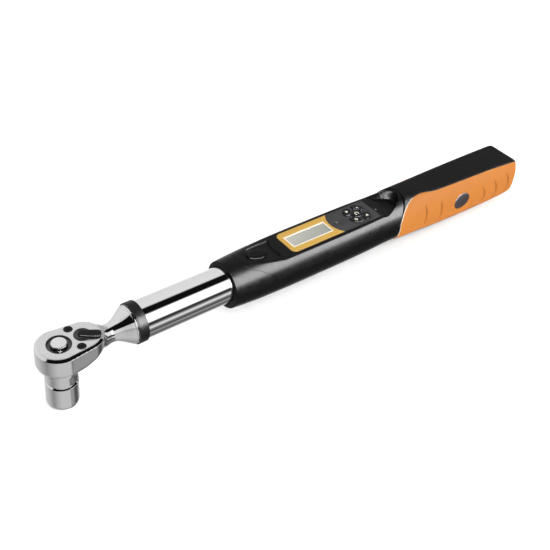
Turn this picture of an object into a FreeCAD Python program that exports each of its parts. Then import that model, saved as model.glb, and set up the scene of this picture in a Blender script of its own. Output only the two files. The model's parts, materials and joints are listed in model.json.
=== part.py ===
"""Electronic torque wrench with a half-inch ratchet head and a hex socket.

X runs along the tool from the drive axis to the end of the grip, and Z is up, towards the display.
Heights in this file are measured from the centre line of the tube. save() lifts every piece, so
that z = 0 is the open end of the socket and the origin is the centre of its mouth. Millimetres.
"""
import FreeCAD, Part

import math
import os
from FreeCAD import Vector

# ---- driving dimensions ----
AXIS_HEIGHT = 49.6          # centre line of the tube above the open end of the socket

HEAD_R = 18.4               # round front of the ratchet head
HEAD_REAR_R = 16.0          # rear of the head, round the lever axis
HEAD_TOP = 10.0
HEAD_BOTTOM = -10.0
LEVER_X = 19.5              # axis of the reversing lever
LEVER_REST = -35.0          # angle of the lever arm from +X at rest, degrees
PLATE_R = 15.8              # cover plate, front and rear radii
PLATE_REAR_R = 14.0
PLATE_TOP = 10.2
PLATE_THICK = 2.6
SCREW_AT = (13.1, 10.6)     # cover screws, mirrored in Y
HUB_HOLE_R = 9.6
SEAL_GAP = 0.3              # clearance between bodies that move past each other

GEAR_TEETH = 36
GEAR_TIP_R = 12.4
GEAR_ROOT_R = 11.3
GEAR_BOTTOM = -4.4
GEAR_TOP = 7.1
PAWL_R = (12.7, 15.4)
PAWL_HALF_ANGLE = 24.0
PAWL_SHIFT = 6.0            # the pawl moves this far each way from the middle, degrees

SQUARE = 12.7               # half-inch square drive
SQUARE_BOTTOM = -26.5
BUTTON_TOP = 12.1
BUTTON_R = 6.2
BUTTON_TRAVEL = 2.3
BALL_R = 2.0
BALL_Z = -19.2
BALL_TRAVEL = 0.6

SOCKET_TOP = -11.6
SOCKET_R = 12.9
SOCKET_HEX = 19.0           # across flats
HEX_TOP = -37.0
BOLT_BORE_R = 8.6           # round clearance above the hex
BOLT_BORE_TOP = -30.0

TUBE_R = 16.2
TUBE_INNER_R = 13.7
TUBE_START = 60.3
TUBE_END = 172.5
PLUG_START = 136.0
BEAM_END = 148.0
RING_X = (60.4, 68.0)
RING_R = 17.3
BEAM_PIN_X = 64.2           # cross pin through tube, neck and beam, under the ring
BEAM_PIN_R = 2.48
BEAM_START = 61.2
SPINE_Z = -4.8              # bar that joins the tube to the grip
SPINE_R = 8.2
SPINE_X = (152.0, 424.0)

HOUSING_X = (149.2, 352.0)
HOUSING_AXIS_Z = -0.8
WALL = 2.5
SEAM_X = 162.0              # seam of the front collar on the top line
SEAM_CURVE = 0.053          # the seam runs back by this times y squared
SEAM_GAP = 0.3
TAIL_CURVE = 0.028          # the tail edge runs forward by this times y squared
PANEL_TOP = 16.2
PANEL_THICK = 1.4
PANEL_HALF = 13.9
PANEL_X = (213.6, 316.5)
SLOPE_X = (158.0, 202.0)    # the sloping crown in front of the panel
BAND_END_X = 331.0
DOME_X = 348.0              # raised rim at the tail, on the top line
WINDOW_X = (218.3, 263.9)
WINDOW_HALF = 7.55
TRIM_WIDTH = 0.9
BEZEL_END_X = 266.7         # middle of the bezel's hollow rear edge
SLOPE = 0.132               # fall of the crown per millimetre
LENS_X = 183.5              # centre of the oval indicator lens
LENS_TOP = 18.9
KEY_CENTRE_X = 298.3
KEY_TRAVEL = 0.8
KEY_TOP = 17.2
COVER_X = (202.0, 326.0)    # bottom cover
COVER_SPLIT_Z = -16.5
SCREW_SEAT_Z = -20.6        # under the heads of the bottom cover's screws

GRIP_END = 509.8
GRIP_REACH = (330.0, 512.0)  # stations before and past the grip, for the shapes that cut it
PANEL_DEPTH = 2.0           # thickness of the soft side panels
PANEL_FRONT_X = 337.5
PANEL_LEAN = 2.5            # the left panel starts this much further down the side than the right one
BADGE_X = 422.5
BADGE_Z = 0.0
BADGE_SIZE = (10.5, 8.5)
DOOR_X = (436.0, 492.0)
DOOR_HALF = 15.3
DOOR_INNER_Z = -19.6
CELL_R = 7.15
CELL_LENGTH = 50.0

os.makedirs("parts", exist_ok=True)


def save(name, shape):
    """Lift one piece into the part's frame and write it as STEP."""
    lifted = shape.copy()
    lifted.translate(Vector(0, 0, AXIS_HEIGHT))
    if not lifted.isValid():
        print("not valid:", name)
    print(f"{name:24s} {len(lifted.Solids)} solids {lifted.Volume:12.1f} mm3")
    lifted.exportStep(f"parts/{name}.step")


def box(x, y, z):
    """A box from pairs of lowest and highest coordinates."""
    return Part.makeBox(x[1] - x[0], y[1] - y[0], z[1] - z[0], Vector(x[0], y[0], z[0]))


def post(radius, z, x=0.0, y=0.0):
    """An upright cylinder between two heights."""
    return Part.makeCylinder(radius, z[1] - z[0], Vector(x, y, z[0]), Vector(0, 0, 1))


def rod(radius, x, y=0.0, z=0.0):
    """A cylinder along X between two stations."""
    return Part.makeCylinder(radius, x[1] - x[0], Vector(x[0], y, z), Vector(1, 0, 0))


def cross_rod(radius, y, x, z):
    """A cylinder along Y between two stations."""
    return Part.makeCylinder(radius, y[1] - y[0], Vector(x, y[0], z), Vector(0, 1, 0))


def polygon_prism(points, z):
    """Extrude a closed outline of (x, y) points between two heights."""
    corners = [Vector(x, y, z[0]) for x, y in points]
    face = Part.Face(Part.makePolygon(corners + corners[:1]))
    return face.extrude(Vector(0, 0, z[1] - z[0]))


def side_prism(points, y):
    """Extrude a closed outline of (x, z) points across the tool."""
    corners = [Vector(px, y[0], pz) for px, pz in points]
    face = Part.Face(Part.makePolygon(corners + corners[:1]))
    return face.extrude(Vector(0, y[1] - y[0], 0))


def lathe_z(profile):
    """Turn a closed (radius, z) outline about the drive axis."""
    corners = [Vector(r, 0, z) for r, z in profile]
    return Part.Face(Part.makePolygon(corners + corners[:1])).revolve(Vector(), Vector(0, 0, 1), 360)


def stadium(front_r, rear_r, z):
    """Teardrop prism: a front circle on the drive axis hulled with a circle on the lever axis."""
    lean = math.asin((front_r - rear_r) / LEVER_X)
    sn, cs = math.sin(lean), math.cos(lean)
    front = [Vector(front_r * sn, side * front_r * cs, z[0]) for side in (1, -1)]
    rear = [Vector(LEVER_X + rear_r * sn, side * rear_r * cs, z[0]) for side in (1, -1)]
    nose = Vector(-front_r, 0, z[0])
    tail = Vector(LEVER_X + rear_r, 0, z[0])
    edges = [
        Part.Arc(front[0], nose, front[1]).toShape(),
        Part.LineSegment(front[1], rear[1]).toShape(),
        Part.Arc(rear[1], tail, rear[0]).toShape(),
        Part.LineSegment(rear[0], front[0]).toShape(),
    ]
    return Part.Face(Part.Wire(edges)).extrude(Vector(0, 0, z[1] - z[0]))


def sector_points(radius, half_angle, centre_angle=0.0, steps=12):
    """Points along an arc about the drive axis."""
    angles = [centre_angle - half_angle + 2 * half_angle * i / steps for i in range(steps + 1)]
    return [(radius * math.cos(math.radians(a)), radius * math.sin(math.radians(a))) for a in angles]


def sector(radii, half_angle, z, centre_angle=0.0):
    """Ring sector about the drive axis."""
    inner = sector_points(radii[0], half_angle, centre_angle)
    outer = sector_points(radii[1], half_angle, centre_angle)
    return polygon_prism(inner + outer[::-1], z)


def turned(shape, degrees, x=0.0, y=0.0):
    """A copy turned about an upright axis."""
    copy = shape.copy()
    copy.rotate(Vector(x, y, 0), Vector(0, 0, 1), degrees)
    return copy


# ---- ratchet head ----
def neck_profile():
    """Waisted neck from the head to the flange that meets the tube."""
    waist = [
        (26.0, 9.9), (32.0, 9.7), (37.0, 8.7), (42.0, 8.0),
        (46.0, 8.5), (50.0, 10.5), (54.0, 13.2), (57.4, 15.6),
    ]
    curve = Part.BSplineCurve()
    curve.interpolate([Vector(x, 0, r) for x, r in waist])
    rest = [
        (57.4, 15.6), (58.2, 16.1), (60.2, 16.1), (60.2, 13.6),
        (80.0, 13.6), (80.0, 0), (26.0, 0), (26.0, 9.9),
    ]
    line = Part.makePolygon([Vector(x, 0, r) for x, r in rest])
    wire = Part.Wire([curve.toShape()] + line.Edges)
    return Part.Face(wire).revolve(Vector(), Vector(1, 0, 0), 360)


def ratchet_head():
    """Forged head and neck in one piece, with pockets for the gear, the pawl and the lever."""
    body = stadium(HEAD_R, HEAD_REAR_R, (HEAD_BOTTOM, HEAD_TOP))
    bottom = [e for e in body.Edges if abs(e.BoundBox.ZMax - HEAD_BOTTOM) < 1e-6]
    body = body.makeFillet(3.5, bottom)
    top = [e for e in body.Edges if abs(e.BoundBox.ZMin - HEAD_TOP) < 1e-6]
    body = body.makeChamfer(2.1, top)
    body = body.fuse(neck_profile())
    gear_pocket = post(GEAR_TIP_R + 0.5, (GEAR_BOTTOM - 0.2, HEAD_TOP))
    boss_hole = post(10.6, (HEAD_BOTTOM - 1, GEAR_BOTTOM))
    pawl_pocket = sector((8.0, PAWL_R[1] + SEAL_GAP), PAWL_HALF_ANGLE + PAWL_SHIFT + 1.5, (-3.7, HEAD_TOP))
    lever_pocket = post(5.0, (-3.7, HEAD_TOP), LEVER_X)
    lever_pivot = post(3.56, (-7.4, 0), LEVER_X)
    plate_seat = stadium(PLATE_R + 0.1, PLATE_REAR_R + 0.1, (PLATE_TOP - PLATE_THICK, HEAD_TOP + 1))
    threads = [post(1.3, (1.0, HEAD_TOP), SCREW_AT[0], side * SCREW_AT[1]) for side in (1, -1)]
    beam_slot = box((BEAM_START - 0.2, 81), (-7.1, 7.1), (-9.1, 9.1))
    pin_hole = cross_rod(BEAM_PIN_R + 0.02, (-17, 17), BEAM_PIN_X, 0)
    cuts = [gear_pocket, boss_hole, pawl_pocket, lever_pocket, lever_pivot, plate_seat, beam_slot, pin_hole]
    return body.cut(cuts + threads)


def cover_plate():
    """Plate that closes the head, with holes for the hub, the lever and two screws."""
    z = (PLATE_TOP - PLATE_THICK, PLATE_TOP)
    plate = stadium(PLATE_R, PLATE_REAR_R, z)
    cuts = [post(HUB_HOLE_R, z), post(6.8, z, LEVER_X)]
    for side in (1, -1):
        cuts.append(screw_head(SCREW_AT[0], side * SCREW_AT[1], 3.5, 1.45))
    return plate.cut(cuts)


def screw_head(x, y, head_r, shank_r):
    """Countersunk outline from the plate's top down through the plate."""
    low = PLATE_TOP - PLATE_THICK
    straight = post(head_r, (PLATE_TOP - 0.6, PLATE_TOP), x, y)
    cone = Part.makeCone(shank_r, head_r, 1.6, Vector(x, y, PLATE_TOP - 2.2), Vector(0, 0, 1))
    shank = post(shank_r, (low, PLATE_TOP - 1), x, y)
    return straight.fuse([cone, shank])


def cover_screws():
    """Two countersunk screws with hex recesses."""
    screws = []
    for side in (1, -1):
        x, y = SCREW_AT[0], side * SCREW_AT[1]
        screw = screw_head(x, y, 3.4, 1.25).fuse(post(1.25, (1.4, PLATE_TOP - 2), x, y))
        turns = [i * math.pi / 3 for i in range(6)]
        corners = [(x + 1.3 * math.cos(a), y + 1.3 * math.sin(a)) for a in turns]
        screws.append(screw.cut(polygon_prism(corners, (PLATE_TOP - 1.3, PLATE_TOP + 1))))
    return Part.makeCompound(screws)


def drive_gear():
    """Ratchet gear, hub and square drive in one piece, bored for the release button."""
    outline = []
    for i in range(GEAR_TEETH):
        for radius, step in ((GEAR_ROOT_R, 0.0), (GEAR_TIP_R, 0.4), (GEAR_TIP_R, 0.6)):
            angle = 2 * math.pi * (i + step) / GEAR_TEETH
            outline.append((radius * math.cos(angle), radius * math.sin(angle)))
    gear = polygon_prism(outline, (GEAR_BOTTOM, GEAR_TOP))
    hub = post(HUB_HOLE_R - 0.15, (GEAR_TOP - 1, 8.8))
    boss = post(10.5, (-11.2, GEAR_BOTTOM + 1))
    half = SQUARE / 2
    square = box((-half, half), (-half, half), (SQUARE_BOTTOM, -10.5))
    uprights = [e for e in square.Edges if abs(e.BoundBox.ZLength - (-10.5 - SQUARE_BOTTOM)) < 1e-6]
    square = square.makeChamfer(0.9, uprights)
    gear = gear.fuse([hub, boss, square])
    stem_bore = post(3.1, (-24.0, 9))
    spring_pocket = post(5.0, (-2.0, 9))
    button_pocket = post(BUTTON_R + 0.2, (6.2, 9))
    ball_bore = Part.makeCylinder(BALL_R + 0.05, 8, Vector(0, 0, BALL_Z), Vector(1, 0, 0))
    return gear.cut([stem_bore, spring_pocket, button_pocket, ball_bore])


def quick_release_button():
    """Round push button on a stem; the waist of the stem lets the detent ball in when pressed."""
    neck = 1.65
    behind_ball = 2.25
    profile = [
        (0, BUTTON_TOP), (5.6, BUTTON_TOP), (BUTTON_R, BUTTON_TOP - 0.6), (BUTTON_R, 9.1), (3.0, 9.1),
        (3.0, BALL_Z + BUTTON_TRAVEL + 3.6), (neck, BALL_Z + BUTTON_TRAVEL + 2.6),
        (neck, BALL_Z + BUTTON_TRAVEL), (behind_ball, BALL_Z), (behind_ball, -21.4), (0, -21.4),
    ]
    button = lathe_z(profile)
    dimple = Part.makeSphere(30, Vector(0, 0, BUTTON_TOP + 29.6))
    return button.cut(dimple)


def release_spring():
    """Compression spring under the button."""
    pitch, wire_r, coil_r, low, high = 1.75, 0.4, 4.1, -1.55, 8.65
    path = Part.makeHelix(pitch, high - low, coil_r)
    section = Part.Wire(Part.makeCircle(wire_r, Vector(coil_r, 0, 0), Vector(0, 1, 0)))
    spring = Part.Wire(path).makePipeShell([section], True, True)
    spring.translate(Vector(0, 0, low))
    return spring


def detent_ball():
    """Ball that holds the socket on, just proud of the square's face."""
    return Part.makeSphere(BALL_R, Vector(SQUARE / 2 + 0.05 - BALL_R, 0, BALL_Z))


def pawl():
    """Toothed shoe beside the gear, shifted to one side of the middle."""
    teeth = []
    pitch = 360 / GEAR_TEETH
    for i in range(int(2 * PAWL_HALF_ANGLE / pitch) + 1):
        middle = -PAWL_HALF_ANGLE + i * pitch
        teeth += sector_points(PAWL_R[0] + 0.7, 0.1 * pitch, middle, 1)
        if middle + pitch / 2 < PAWL_HALF_ANGLE:
            teeth += sector_points(PAWL_R[0], 0.12 * pitch, middle + pitch / 2, 1)
    back = sector_points(PAWL_R[1], PAWL_HALF_ANGLE - 3)
    shoe = polygon_prism(teeth + back[::-1], (-3.4, 7.0))
    return turned(shoe, PAWL_SHIFT)


def lever_frame(shape):
    """Turn a piece drawn along +X from the lever axis to the lever's rest angle."""
    moved = shape.copy()
    moved.translate(Vector(LEVER_X, 0, 0))
    return turned(moved, LEVER_REST, LEVER_X)


def reversing_lever():
    """Disc, thumb arm and pivot of the direction lever, bored for its plunger."""
    disc = post(6.65, (7.9, 10.6))
    stem = post(3.5, (-7.2, 8.5))
    outline = [(-3.0, -3.4), (-3.0, 3.4), (12.6, 4.0), (14.0, 2.6), (14.0, -2.6), (12.6, -4.0)]
    arm = polygon_prism(outline, (10.5, 12.9))
    top = [e for e in arm.Edges if abs(e.BoundBox.ZMin - 12.9) < 1e-6]
    arm = arm.makeChamfer(0.7, top)
    bore = Part.makeCylinder(1.3, 6, Vector(0.5, 0, 2), Vector(-1, 0, 0))
    return lever_frame(disc.fuse([stem, arm]).cut(bore))


def lever_plunger():
    """Round-nosed pin that pushes on the pawl."""
    pin = Part.makeCylinder(1.2, 2.0, Vector(-1.4, 0, 2), Vector(-1, 0, 0))
    nose = [e for e in pin.Edges if e.BoundBox.XMax < -3.3]
    return lever_frame(pin.makeFillet(0.6, nose))


def plunger_spring():
    """Short spring behind the plunger."""
    rings = [Part.makeTorus(0.85, 0.15, Vector(-0.1 - 0.32 * i, 0, 2), Vector(1, 0, 0)) for i in range(4)]
    return lever_frame(Part.makeCompound(rings))


# ---- socket ----
def socket():
    """Hex socket with a knurled upper ring, a groove and a rounded lower edge."""
    profile = [
        (0, SOCKET_TOP), (10.6, SOCKET_TOP), (11.4, -12.4), (12.5, -16.4), (12.6, -24.4), (11.2, -25.3),
        (11.2, -26.5), (SOCKET_R, -27.4), (SOCKET_R, -47.2), (12.6, -48.6), (11.9, -49.4),
        (11.3, -AXIS_HEIGHT), (0, -AXIS_HEIGHT),
    ]
    body = lathe_z(profile)
    corner_r = SOCKET_HEX / math.sqrt(3)
    turns = [i * math.pi / 3 for i in range(6)]
    hexagon = [(corner_r * math.cos(a), corner_r * math.sin(a)) for a in turns]
    hex_hole = polygon_prism(hexagon, (-AXIS_HEIGHT - 1, HEX_TOP))
    mouth = Vector(0, 0, -AXIS_HEIGHT)
    lead_in = Part.makeCone(corner_r, corner_r - 1.2, 1.2, mouth, Vector(0, 0, 1))
    bolt_bore = post(BOLT_BORE_R, (HEX_TOP - 0.1, BOLT_BORE_TOP))
    through = post(5.5, (BOLT_BORE_TOP - 0.1, -27.9))
    half = SQUARE / 2 + 0.15
    square_hole = box((-half, half), (-half, half), (-28.0, SOCKET_TOP + 1))
    detent_groove = post(7.1, (BALL_Z - 1.2, BALL_Z + 1.2))
    return body.cut([hex_hole, lead_in, bolt_bore, through, square_hole, detent_groove])


# ---- tube and what it holds ----
def torque_tube():
    """Polished tube from the head's flange into the housing."""
    tube = rod(TUBE_R, (TUBE_START, TUBE_END)).cut(rod(TUBE_INNER_R, (TUBE_START - 1, TUBE_END + 1)))
    return tube.cut(cross_rod(BEAM_PIN_R + 0.02, (-17, 17), BEAM_PIN_X, 0))


def neck_ring():
    """Dark ring over the joint of flange and tube."""
    ring = rod(RING_R, RING_X).cut(rod(TUBE_R + 0.02, (RING_X[0] - 1, RING_X[1] + 1)))
    rims = [e for e in ring.Edges if abs(e.BoundBox.ZMax - RING_R) < 1e-3 and e.BoundBox.XLength < 1e-3]
    return ring.makeFillet(0.4, rims)


def beam_pin():
    """Cross pin that holds tube, neck and beam together, covered by the ring."""
    return cross_rod(BEAM_PIN_R, (-13.5, 13.5), BEAM_PIN_X, 0)


def flex_beam():
    """Bar inside the tube that bends with the torque."""
    beam = box((BEAM_START, BEAM_END), (-7, 7), (-9, 9))
    waist = [box((98, 130), (side * 7 - 2.2, side * 7 + 2.2), (-9, 9)) for side in (1, -1)]
    return beam.cut(waist + [cross_rod(BEAM_PIN_R + 0.02, (-8, 8), BEAM_PIN_X, 0)])


def strain_gauges():
    """Foil gauges on the waisted faces of the beam."""
    pads = []
    for side in (1, -1):
        face = side * 4.8
        span = sorted((face, face + side * 0.35))
        pads += [box((x, x + 8), span, (-3, 3)) for x in (104, 116)]
    return Part.makeCompound(pads)


def sensor_lead():
    """Straight run of wire from the beam to the circuit board."""
    return rod(0.9, (124.5, 213.9), 0, 9.95)


def rear_plug():
    """Plug in the tube's end that carries the beam's end and the spine."""
    plug = rod(TUBE_INNER_R - 0.05, (PLUG_START, TUBE_END))
    beam_slot = box((PLUG_START - 1, BEAM_END + 0.5), (-7.1, 7.1), (-9.1, 9.1))
    spine_bore = rod(SPINE_R + 0.05, (SPINE_X[0], TUBE_END + 1), 0, SPINE_Z)
    wire_bore = rod(1.1, (PLUG_START - 1, TUBE_END + 1), 0, 9.95)
    return plug.cut([beam_slot, spine_bore, wire_bore])


def spine():
    """Steel tube from the plug to the grip."""
    bore = rod(SPINE_R - 2, (SPINE_X[0] - 1, SPINE_X[1] + 1), 0, SPINE_Z)
    return rod(SPINE_R, SPINE_X, 0, SPINE_Z).cut(bore)


# ---- housing ----
def housing_body(inset):
    """Barrel of the housing, the outside for inset 0 and the cavity for the wall's thickness."""
    stations = [
        (HOUSING_X[0], 20.9), (156, 21.5), (170, 22.4), (200, 23.4),
        (250, 23.8), (300, 23.6), (330, 22.9), (HOUSING_X[1], 23.2),
    ]
    curve = Part.BSplineCurve()
    curve.interpolate([Vector(x, 0, r - inset) for x, r in stations])
    first, last = stations[0], stations[-1]
    rest = [(last[0], last[1] - inset), (last[0], 0), (first[0], 0), (first[0], first[1] - inset)]
    wire = Part.Wire([curve.toShape()] + Part.makePolygon([Vector(x, 0, r) for x, r in rest]).Edges)
    barrel = Part.Face(wire).revolve(Vector(), Vector(1, 0, 0), 360)
    barrel.translate(Vector(0, 0, HOUSING_AXIS_Z))
    return barrel


def plan_curve(x_top, bend, x_far):
    """Upright prism of everything between a parabola across the tool and a far station."""
    span = [-30 + 3 * i for i in range(21)]
    arc = Part.BSplineCurve()
    arc.interpolate([Vector(x_top + bend * y * y, y, -40) for y in span])
    x_side = x_top + bend * 30 ** 2
    ends = [(x_side, 30), (x_far, 30), (x_far, -30), (x_side, -30)]
    wire = Part.Wire([arc.toShape()] + Part.makePolygon([Vector(x, y, -40) for x, y in ends]).Edges)
    return Part.Face(wire).extrude(Vector(0, 0, 80))


def crown_cut():
    """What is taken off the top: the slope, the flat for the panel and the recess before the dome."""
    slope_top = PANEL_TOP + SLOPE * (SLOPE_X[1] - SLOPE_X[0])
    outline = [
        (SLOPE_X[0] - 12, slope_top + 1.6), (SLOPE_X[1], PANEL_TOP), (PANEL_X[1], PANEL_TOP),
        (BAND_END_X, PANEL_TOP - 1.6), (HOUSING_X[1] + 2, PANEL_TOP - 1.6),
        (HOUSING_X[1] + 2, 40), (SLOPE_X[0] - 12, 40),
    ]
    return side_prism(outline, (-30, 30)).cut(plan_curve(DOME_X, -0.045, HOUSING_X[1] + 20))


def cavity():
    """Inside of the housing, kept clear of the top wall."""
    inner = housing_body(WALL).common(box((152, 346), (-30, 30), (-30, 13.3)))
    return inner.cut(plan_curve(HOUSING_X[1] - 5, -TAIL_CURVE, HOUSING_X[1] + 20))


def shell():
    """Hollow housing before it is split into collar, main part and bottom cover."""
    behind_tail = plan_curve(HOUSING_X[1] - 2, -TAIL_CURVE, HOUSING_X[1] + 20)
    outside = housing_body(0).cut([crown_cut(), behind_tail])
    tail_mouth = rod(SPINE_R + 6.5, (335, 356), 0, SPINE_Z + 2)
    tube_bore = rod(TUBE_R + 0.15, (140, TUBE_END + 0.5))
    return outside.cut([cavity(), tube_bore, tail_mouth])


def cover_region(gap):
    """Round-ended strip under the housing that the bottom cover fills."""
    half = 14.5 - gap
    x = (COVER_X[0] + half + gap, COVER_X[1] - half - gap)
    ends = [post(half, (-30, COVER_SPLIT_Z), station) for station in x]
    return box(x, (-half, half), (-30, COVER_SPLIT_Z)).fuse(ends)


def cover_screw_places():
    """Where the four bottom screws are."""
    return [(x, side * 9.6) for x in (COVER_X[0] + 13, COVER_X[1] - 13) for side in (1, -1)]


def front_collar(whole):
    """Front end of the housing, up to the curved seam."""
    return whole.cut(plan_curve(SEAM_X, SEAM_CURVE, HOUSING_X[1] + 20))


def dimple():
    """Boat-shaped hollow round the indicator lens, its floor parallel to the slope."""
    half = [(172, 5), (177, 8.2), (188, 10.8), (204, 12.2)]
    outline = [(169.5, 0)] + [(x, -y) for x, y in half] + [(201.5, 0)] + half[::-1]
    prism = polygon_prism(outline, (0, 40))
    floor_z = PANEL_TOP + SLOPE * (SLOPE_X[1] - LENS_X) - 1.3
    floor = [(x, floor_z + SLOPE * (LENS_X - x)) for x in (165, 206)]
    wedge = floor + [(206, 40), (165, 40)]
    return prism.common(side_prism(wedge, (-20, 20)))


def lens_outline(grow, z):
    """Upright oval prism for the indicator lens or its seat."""
    oval = Part.Ellipse(Vector(LENS_X, 0, z[0]), 10.2 + grow, 6.4 + grow).toShape()
    return Part.Face(Part.Wire(oval)).extrude(Vector(0, 0, z[1] - z[0]))


def cover_lug(x, y):
    """Lug that reaches in from the wall over one of the bottom screws."""
    reach = sorted((math.copysign(6.6, y), math.copysign(20, y)))
    return box((x - 3.2, x + 3.2), reach, (-15.8, -12.2)).common(housing_body(1))


def main_housing(whole):
    """Main shell with seats for the panel, the lens and the bottom cover."""
    body = whole.common(plan_curve(SEAM_X + SEAM_GAP, SEAM_CURVE, HOUSING_X[1] + 20))
    seat_z = PANEL_TOP - PANEL_THICK
    half = PANEL_HALF + 0.15
    seat = box((PANEL_X[0] - 0.15, PANEL_X[1] + 0.15), (-half, half), (seat_z, 20))
    opening = box((PANEL_X[0] + 2, PANEL_X[1] - 1.5), (-12.3, 12.3), (12, 20))
    led_hole = post(0.95, (12, 20), 319.0, -3.5)
    body = body.cut([seat, opening, led_hole, dimple(), lens_outline(0.1, (15.6, 30)), cover_region(0)])
    body = body.fuse([cover_lug(x, y) for x, y in cover_screw_places()])
    return body.cut([post(1.25, (-30, -12.5), x, y) for x, y in cover_screw_places()])


def bottom_cover(whole):
    """Cover on the underside, held by four screws."""
    skin = housing_body(0).cut(housing_body(WALL)).common(cover_region(0.15))
    cuts = []
    for x, y in cover_screw_places():
        cuts += [post(1.6, (-30, -10), x, y), post(2.9, (-30, SCREW_SEAT_Z), x, y)]
    return skin.cut(cuts)


def cover_screws_bottom():
    """Four pan-head screws of the bottom cover."""
    screws = []
    for x, y in cover_screw_places():
        screw = post(2.7, (SCREW_SEAT_Z - 1.2, SCREW_SEAT_Z), x, y)
        screw = screw.fuse(post(1.2, (SCREW_SEAT_Z - 0.1, -12.6), x, y))
        slot_z = (SCREW_SEAT_Z - 2, SCREW_SEAT_Z - 0.5)
        along = box((x - 1.6, x + 1.6), (y - 0.3, y + 0.3), slot_z)
        across = box((x - 0.3, x + 0.3), (y - 1.6, y + 1.6), slot_z)
        screws.append(screw.cut([along, across]))
    return Part.makeCompound(screws)


def indicator_lens():
    """Oval glossy lens over the pass and fail lights."""
    lens = lens_outline(0, (15.7, 21))
    dome = Part.makeSphere(80, Vector(LENS_X - 80 * SLOPE, 0, LENS_TOP - 80 * math.cos(math.atan(SLOPE))))
    return lens.common(dome)


def concave_edge(x_mid, z):
    """Upright prism behind the arc that parts the bezel from the key panel."""
    horn = 5.4
    radius = (PANEL_HALF ** 2 + horn ** 2) / (2 * horn)
    behind = box((x_mid + horn, PANEL_X[1] + 1), (-PANEL_HALF - 1, PANEL_HALF + 1), z)
    return post(radius, z, x_mid + radius).fuse(behind)


def display_bezel():
    """Coloured frame round the display, its rear edge curved inwards."""
    z = (PANEL_TOP - PANEL_THICK, PANEL_TOP)
    plate = box((PANEL_X[0], PANEL_X[0] + 62), (-PANEL_HALF, PANEL_HALF), z)
    corners = [e for e in plate.Edges if e.BoundBox.ZLength > 1 and e.BoundBox.XMax < PANEL_X[0] + 1]
    plate = plate.makeFillet(5.0, corners)
    tall = (z[0] - 1, z[1] + 1)
    return plate.cut([concave_edge(BEZEL_END_X, tall), window_box(0.1, tall)])


def window_box(grow, z):
    """The window's rectangle, grown or shrunk, between two heights."""
    half = WINDOW_HALF + grow
    return box((WINDOW_X[0] - grow, WINDOW_X[1] + grow), (-half, half), z)


def window_trim():
    """Thin pale frame between the bezel and the window."""
    z = (PANEL_TOP - 1.2, PANEL_TOP + 0.05)
    return window_box(0, z).cut(window_box(-TRIM_WIDTH, (z[0] - 1, z[1] + 1)))


def display_window():
    """Clear plate over the display."""
    return window_box(-TRIM_WIDTH - 0.05, (PANEL_TOP - 1.2, PANEL_TOP - 0.3))


def lcd_module():
    """Display glass and its carrier."""
    return window_box(1.5, (11.4, PANEL_TOP - PANEL_THICK - 0.05))


def key_outline(name, grow, z):
    """Round centre key, or a crescent in one of the four diagonal directions."""
    if name == "power":
        return post(5.0 + grow, z, KEY_CENTRE_X)
    angle = {"up": 45, "left": 135, "down": 225, "right": 315}[name]
    band = post(13.0 + grow, z).cut(post(6.5 - grow, z))
    wedge_half = 33 + grow * 5
    wedge = polygon_prism([(0, 0)] + sector_points(20, wedge_half, 0, 6), z)
    blank = band.common([wedge]).common(post(7.6 + grow, z, 5.2))
    blank = turned(blank, angle)
    blank.translate(Vector(KEY_CENTRE_X, 0, 0))
    return blank


KEYS = ("up", "down", "left", "right", "power")


def control_panel():
    """Dark plate round the keys, with a lug that fills the bezel's curved edge."""
    z = (PANEL_TOP - PANEL_THICK, PANEL_TOP)
    tall = (z[0] - 1, z[1] + 1)
    plate = box((PANEL_X[0] + 40, PANEL_X[1]), (-PANEL_HALF, PANEL_HALF), z)
    plate = plate.common(concave_edge(BEZEL_END_X + 0.1, tall))
    holes = [key_outline(name, SEAL_GAP, tall) for name in KEYS] + [post(0.95, tall, 274.0, 0)]
    return plate.cut(holes)


def key(name):
    """Key cap with a thinner flange that stays under the panel."""
    cap = key_outline(name, 0, (14.0, KEY_TOP))
    rim = [e for e in cap.Edges if abs(e.BoundBox.ZMin - KEY_TOP) < 1e-6]
    cap = cap.makeFillet(0.5, rim)
    flange = key_outline(name, 0.55, (13.6, 14.4))
    return cap.fuse(flange)


def keypad_membrane():
    """Rubber mat under the keys."""
    return box((279, 315), (-12.4, 12.4), (11.4, 12.6))


def circuit_board():
    """Board under the display and the keys, with three chips."""
    board = box((214.0, 314.5), (-11.8, 11.8), (9.2, 10.8))
    chips = [box((x, x + 9), (-4.5, 4.5), (7.8, 9.2)) for x in (224, 244, 262)]
    return board.fuse(chips)


def buzzer():
    """Round sounder under the board."""
    return post(5.5, (4.6, 9.2), 296)


def status_leds():
    """Two small lights on the panel."""
    ready = post(0.85, (12.7, PANEL_TOP + 0.1), 274.0, 0)
    power = post(0.85, (12.7, 16.0), 319.0, -3.5)
    return Part.makeCompound([ready, power])


# ---- grip ----
SECTION_POLES = 32
POLE_SWELL = 1.006          # makes up for a smooth curve lying inside its poles
GRIP_SECTIONS = (
    # station, half width, flat top, height of the side ellipse, bottom, squareness below
    (336.0, 22.5, 22.6, 24.6, -23.8, 2.2),
    (356.0, 22.4, 22.4, 24.8, -24.3, 2.4),
    (368.0, 22.2, 22.2, 25.0, -24.4, 2.6),
    (380.0, 22.3, 21.2, 25.4, -24.3, 2.9),
    (396.0, 22.5, 20.5, 25.7, -24.0, 3.2),
    (424.0, 22.8, 19.9, 26.1, -23.6, 3.6),
    (456.0, 22.9, 19.2, 26.5, -23.4, 3.8),
    (480.0, 22.6, 18.5, 27.2, -23.4, 3.9),
    (498.0, 22.0, 17.7, 28.6, -23.3, 3.9),
    (505.0, 20.9, 16.6, 27.0, -21.9, 3.8),
    (508.6, 17.6, 13.4, 22.0, -17.9, 3.6),
    (GRIP_END, 13.0, 9.4, 16.0, -13.4, 3.4),
)
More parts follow.
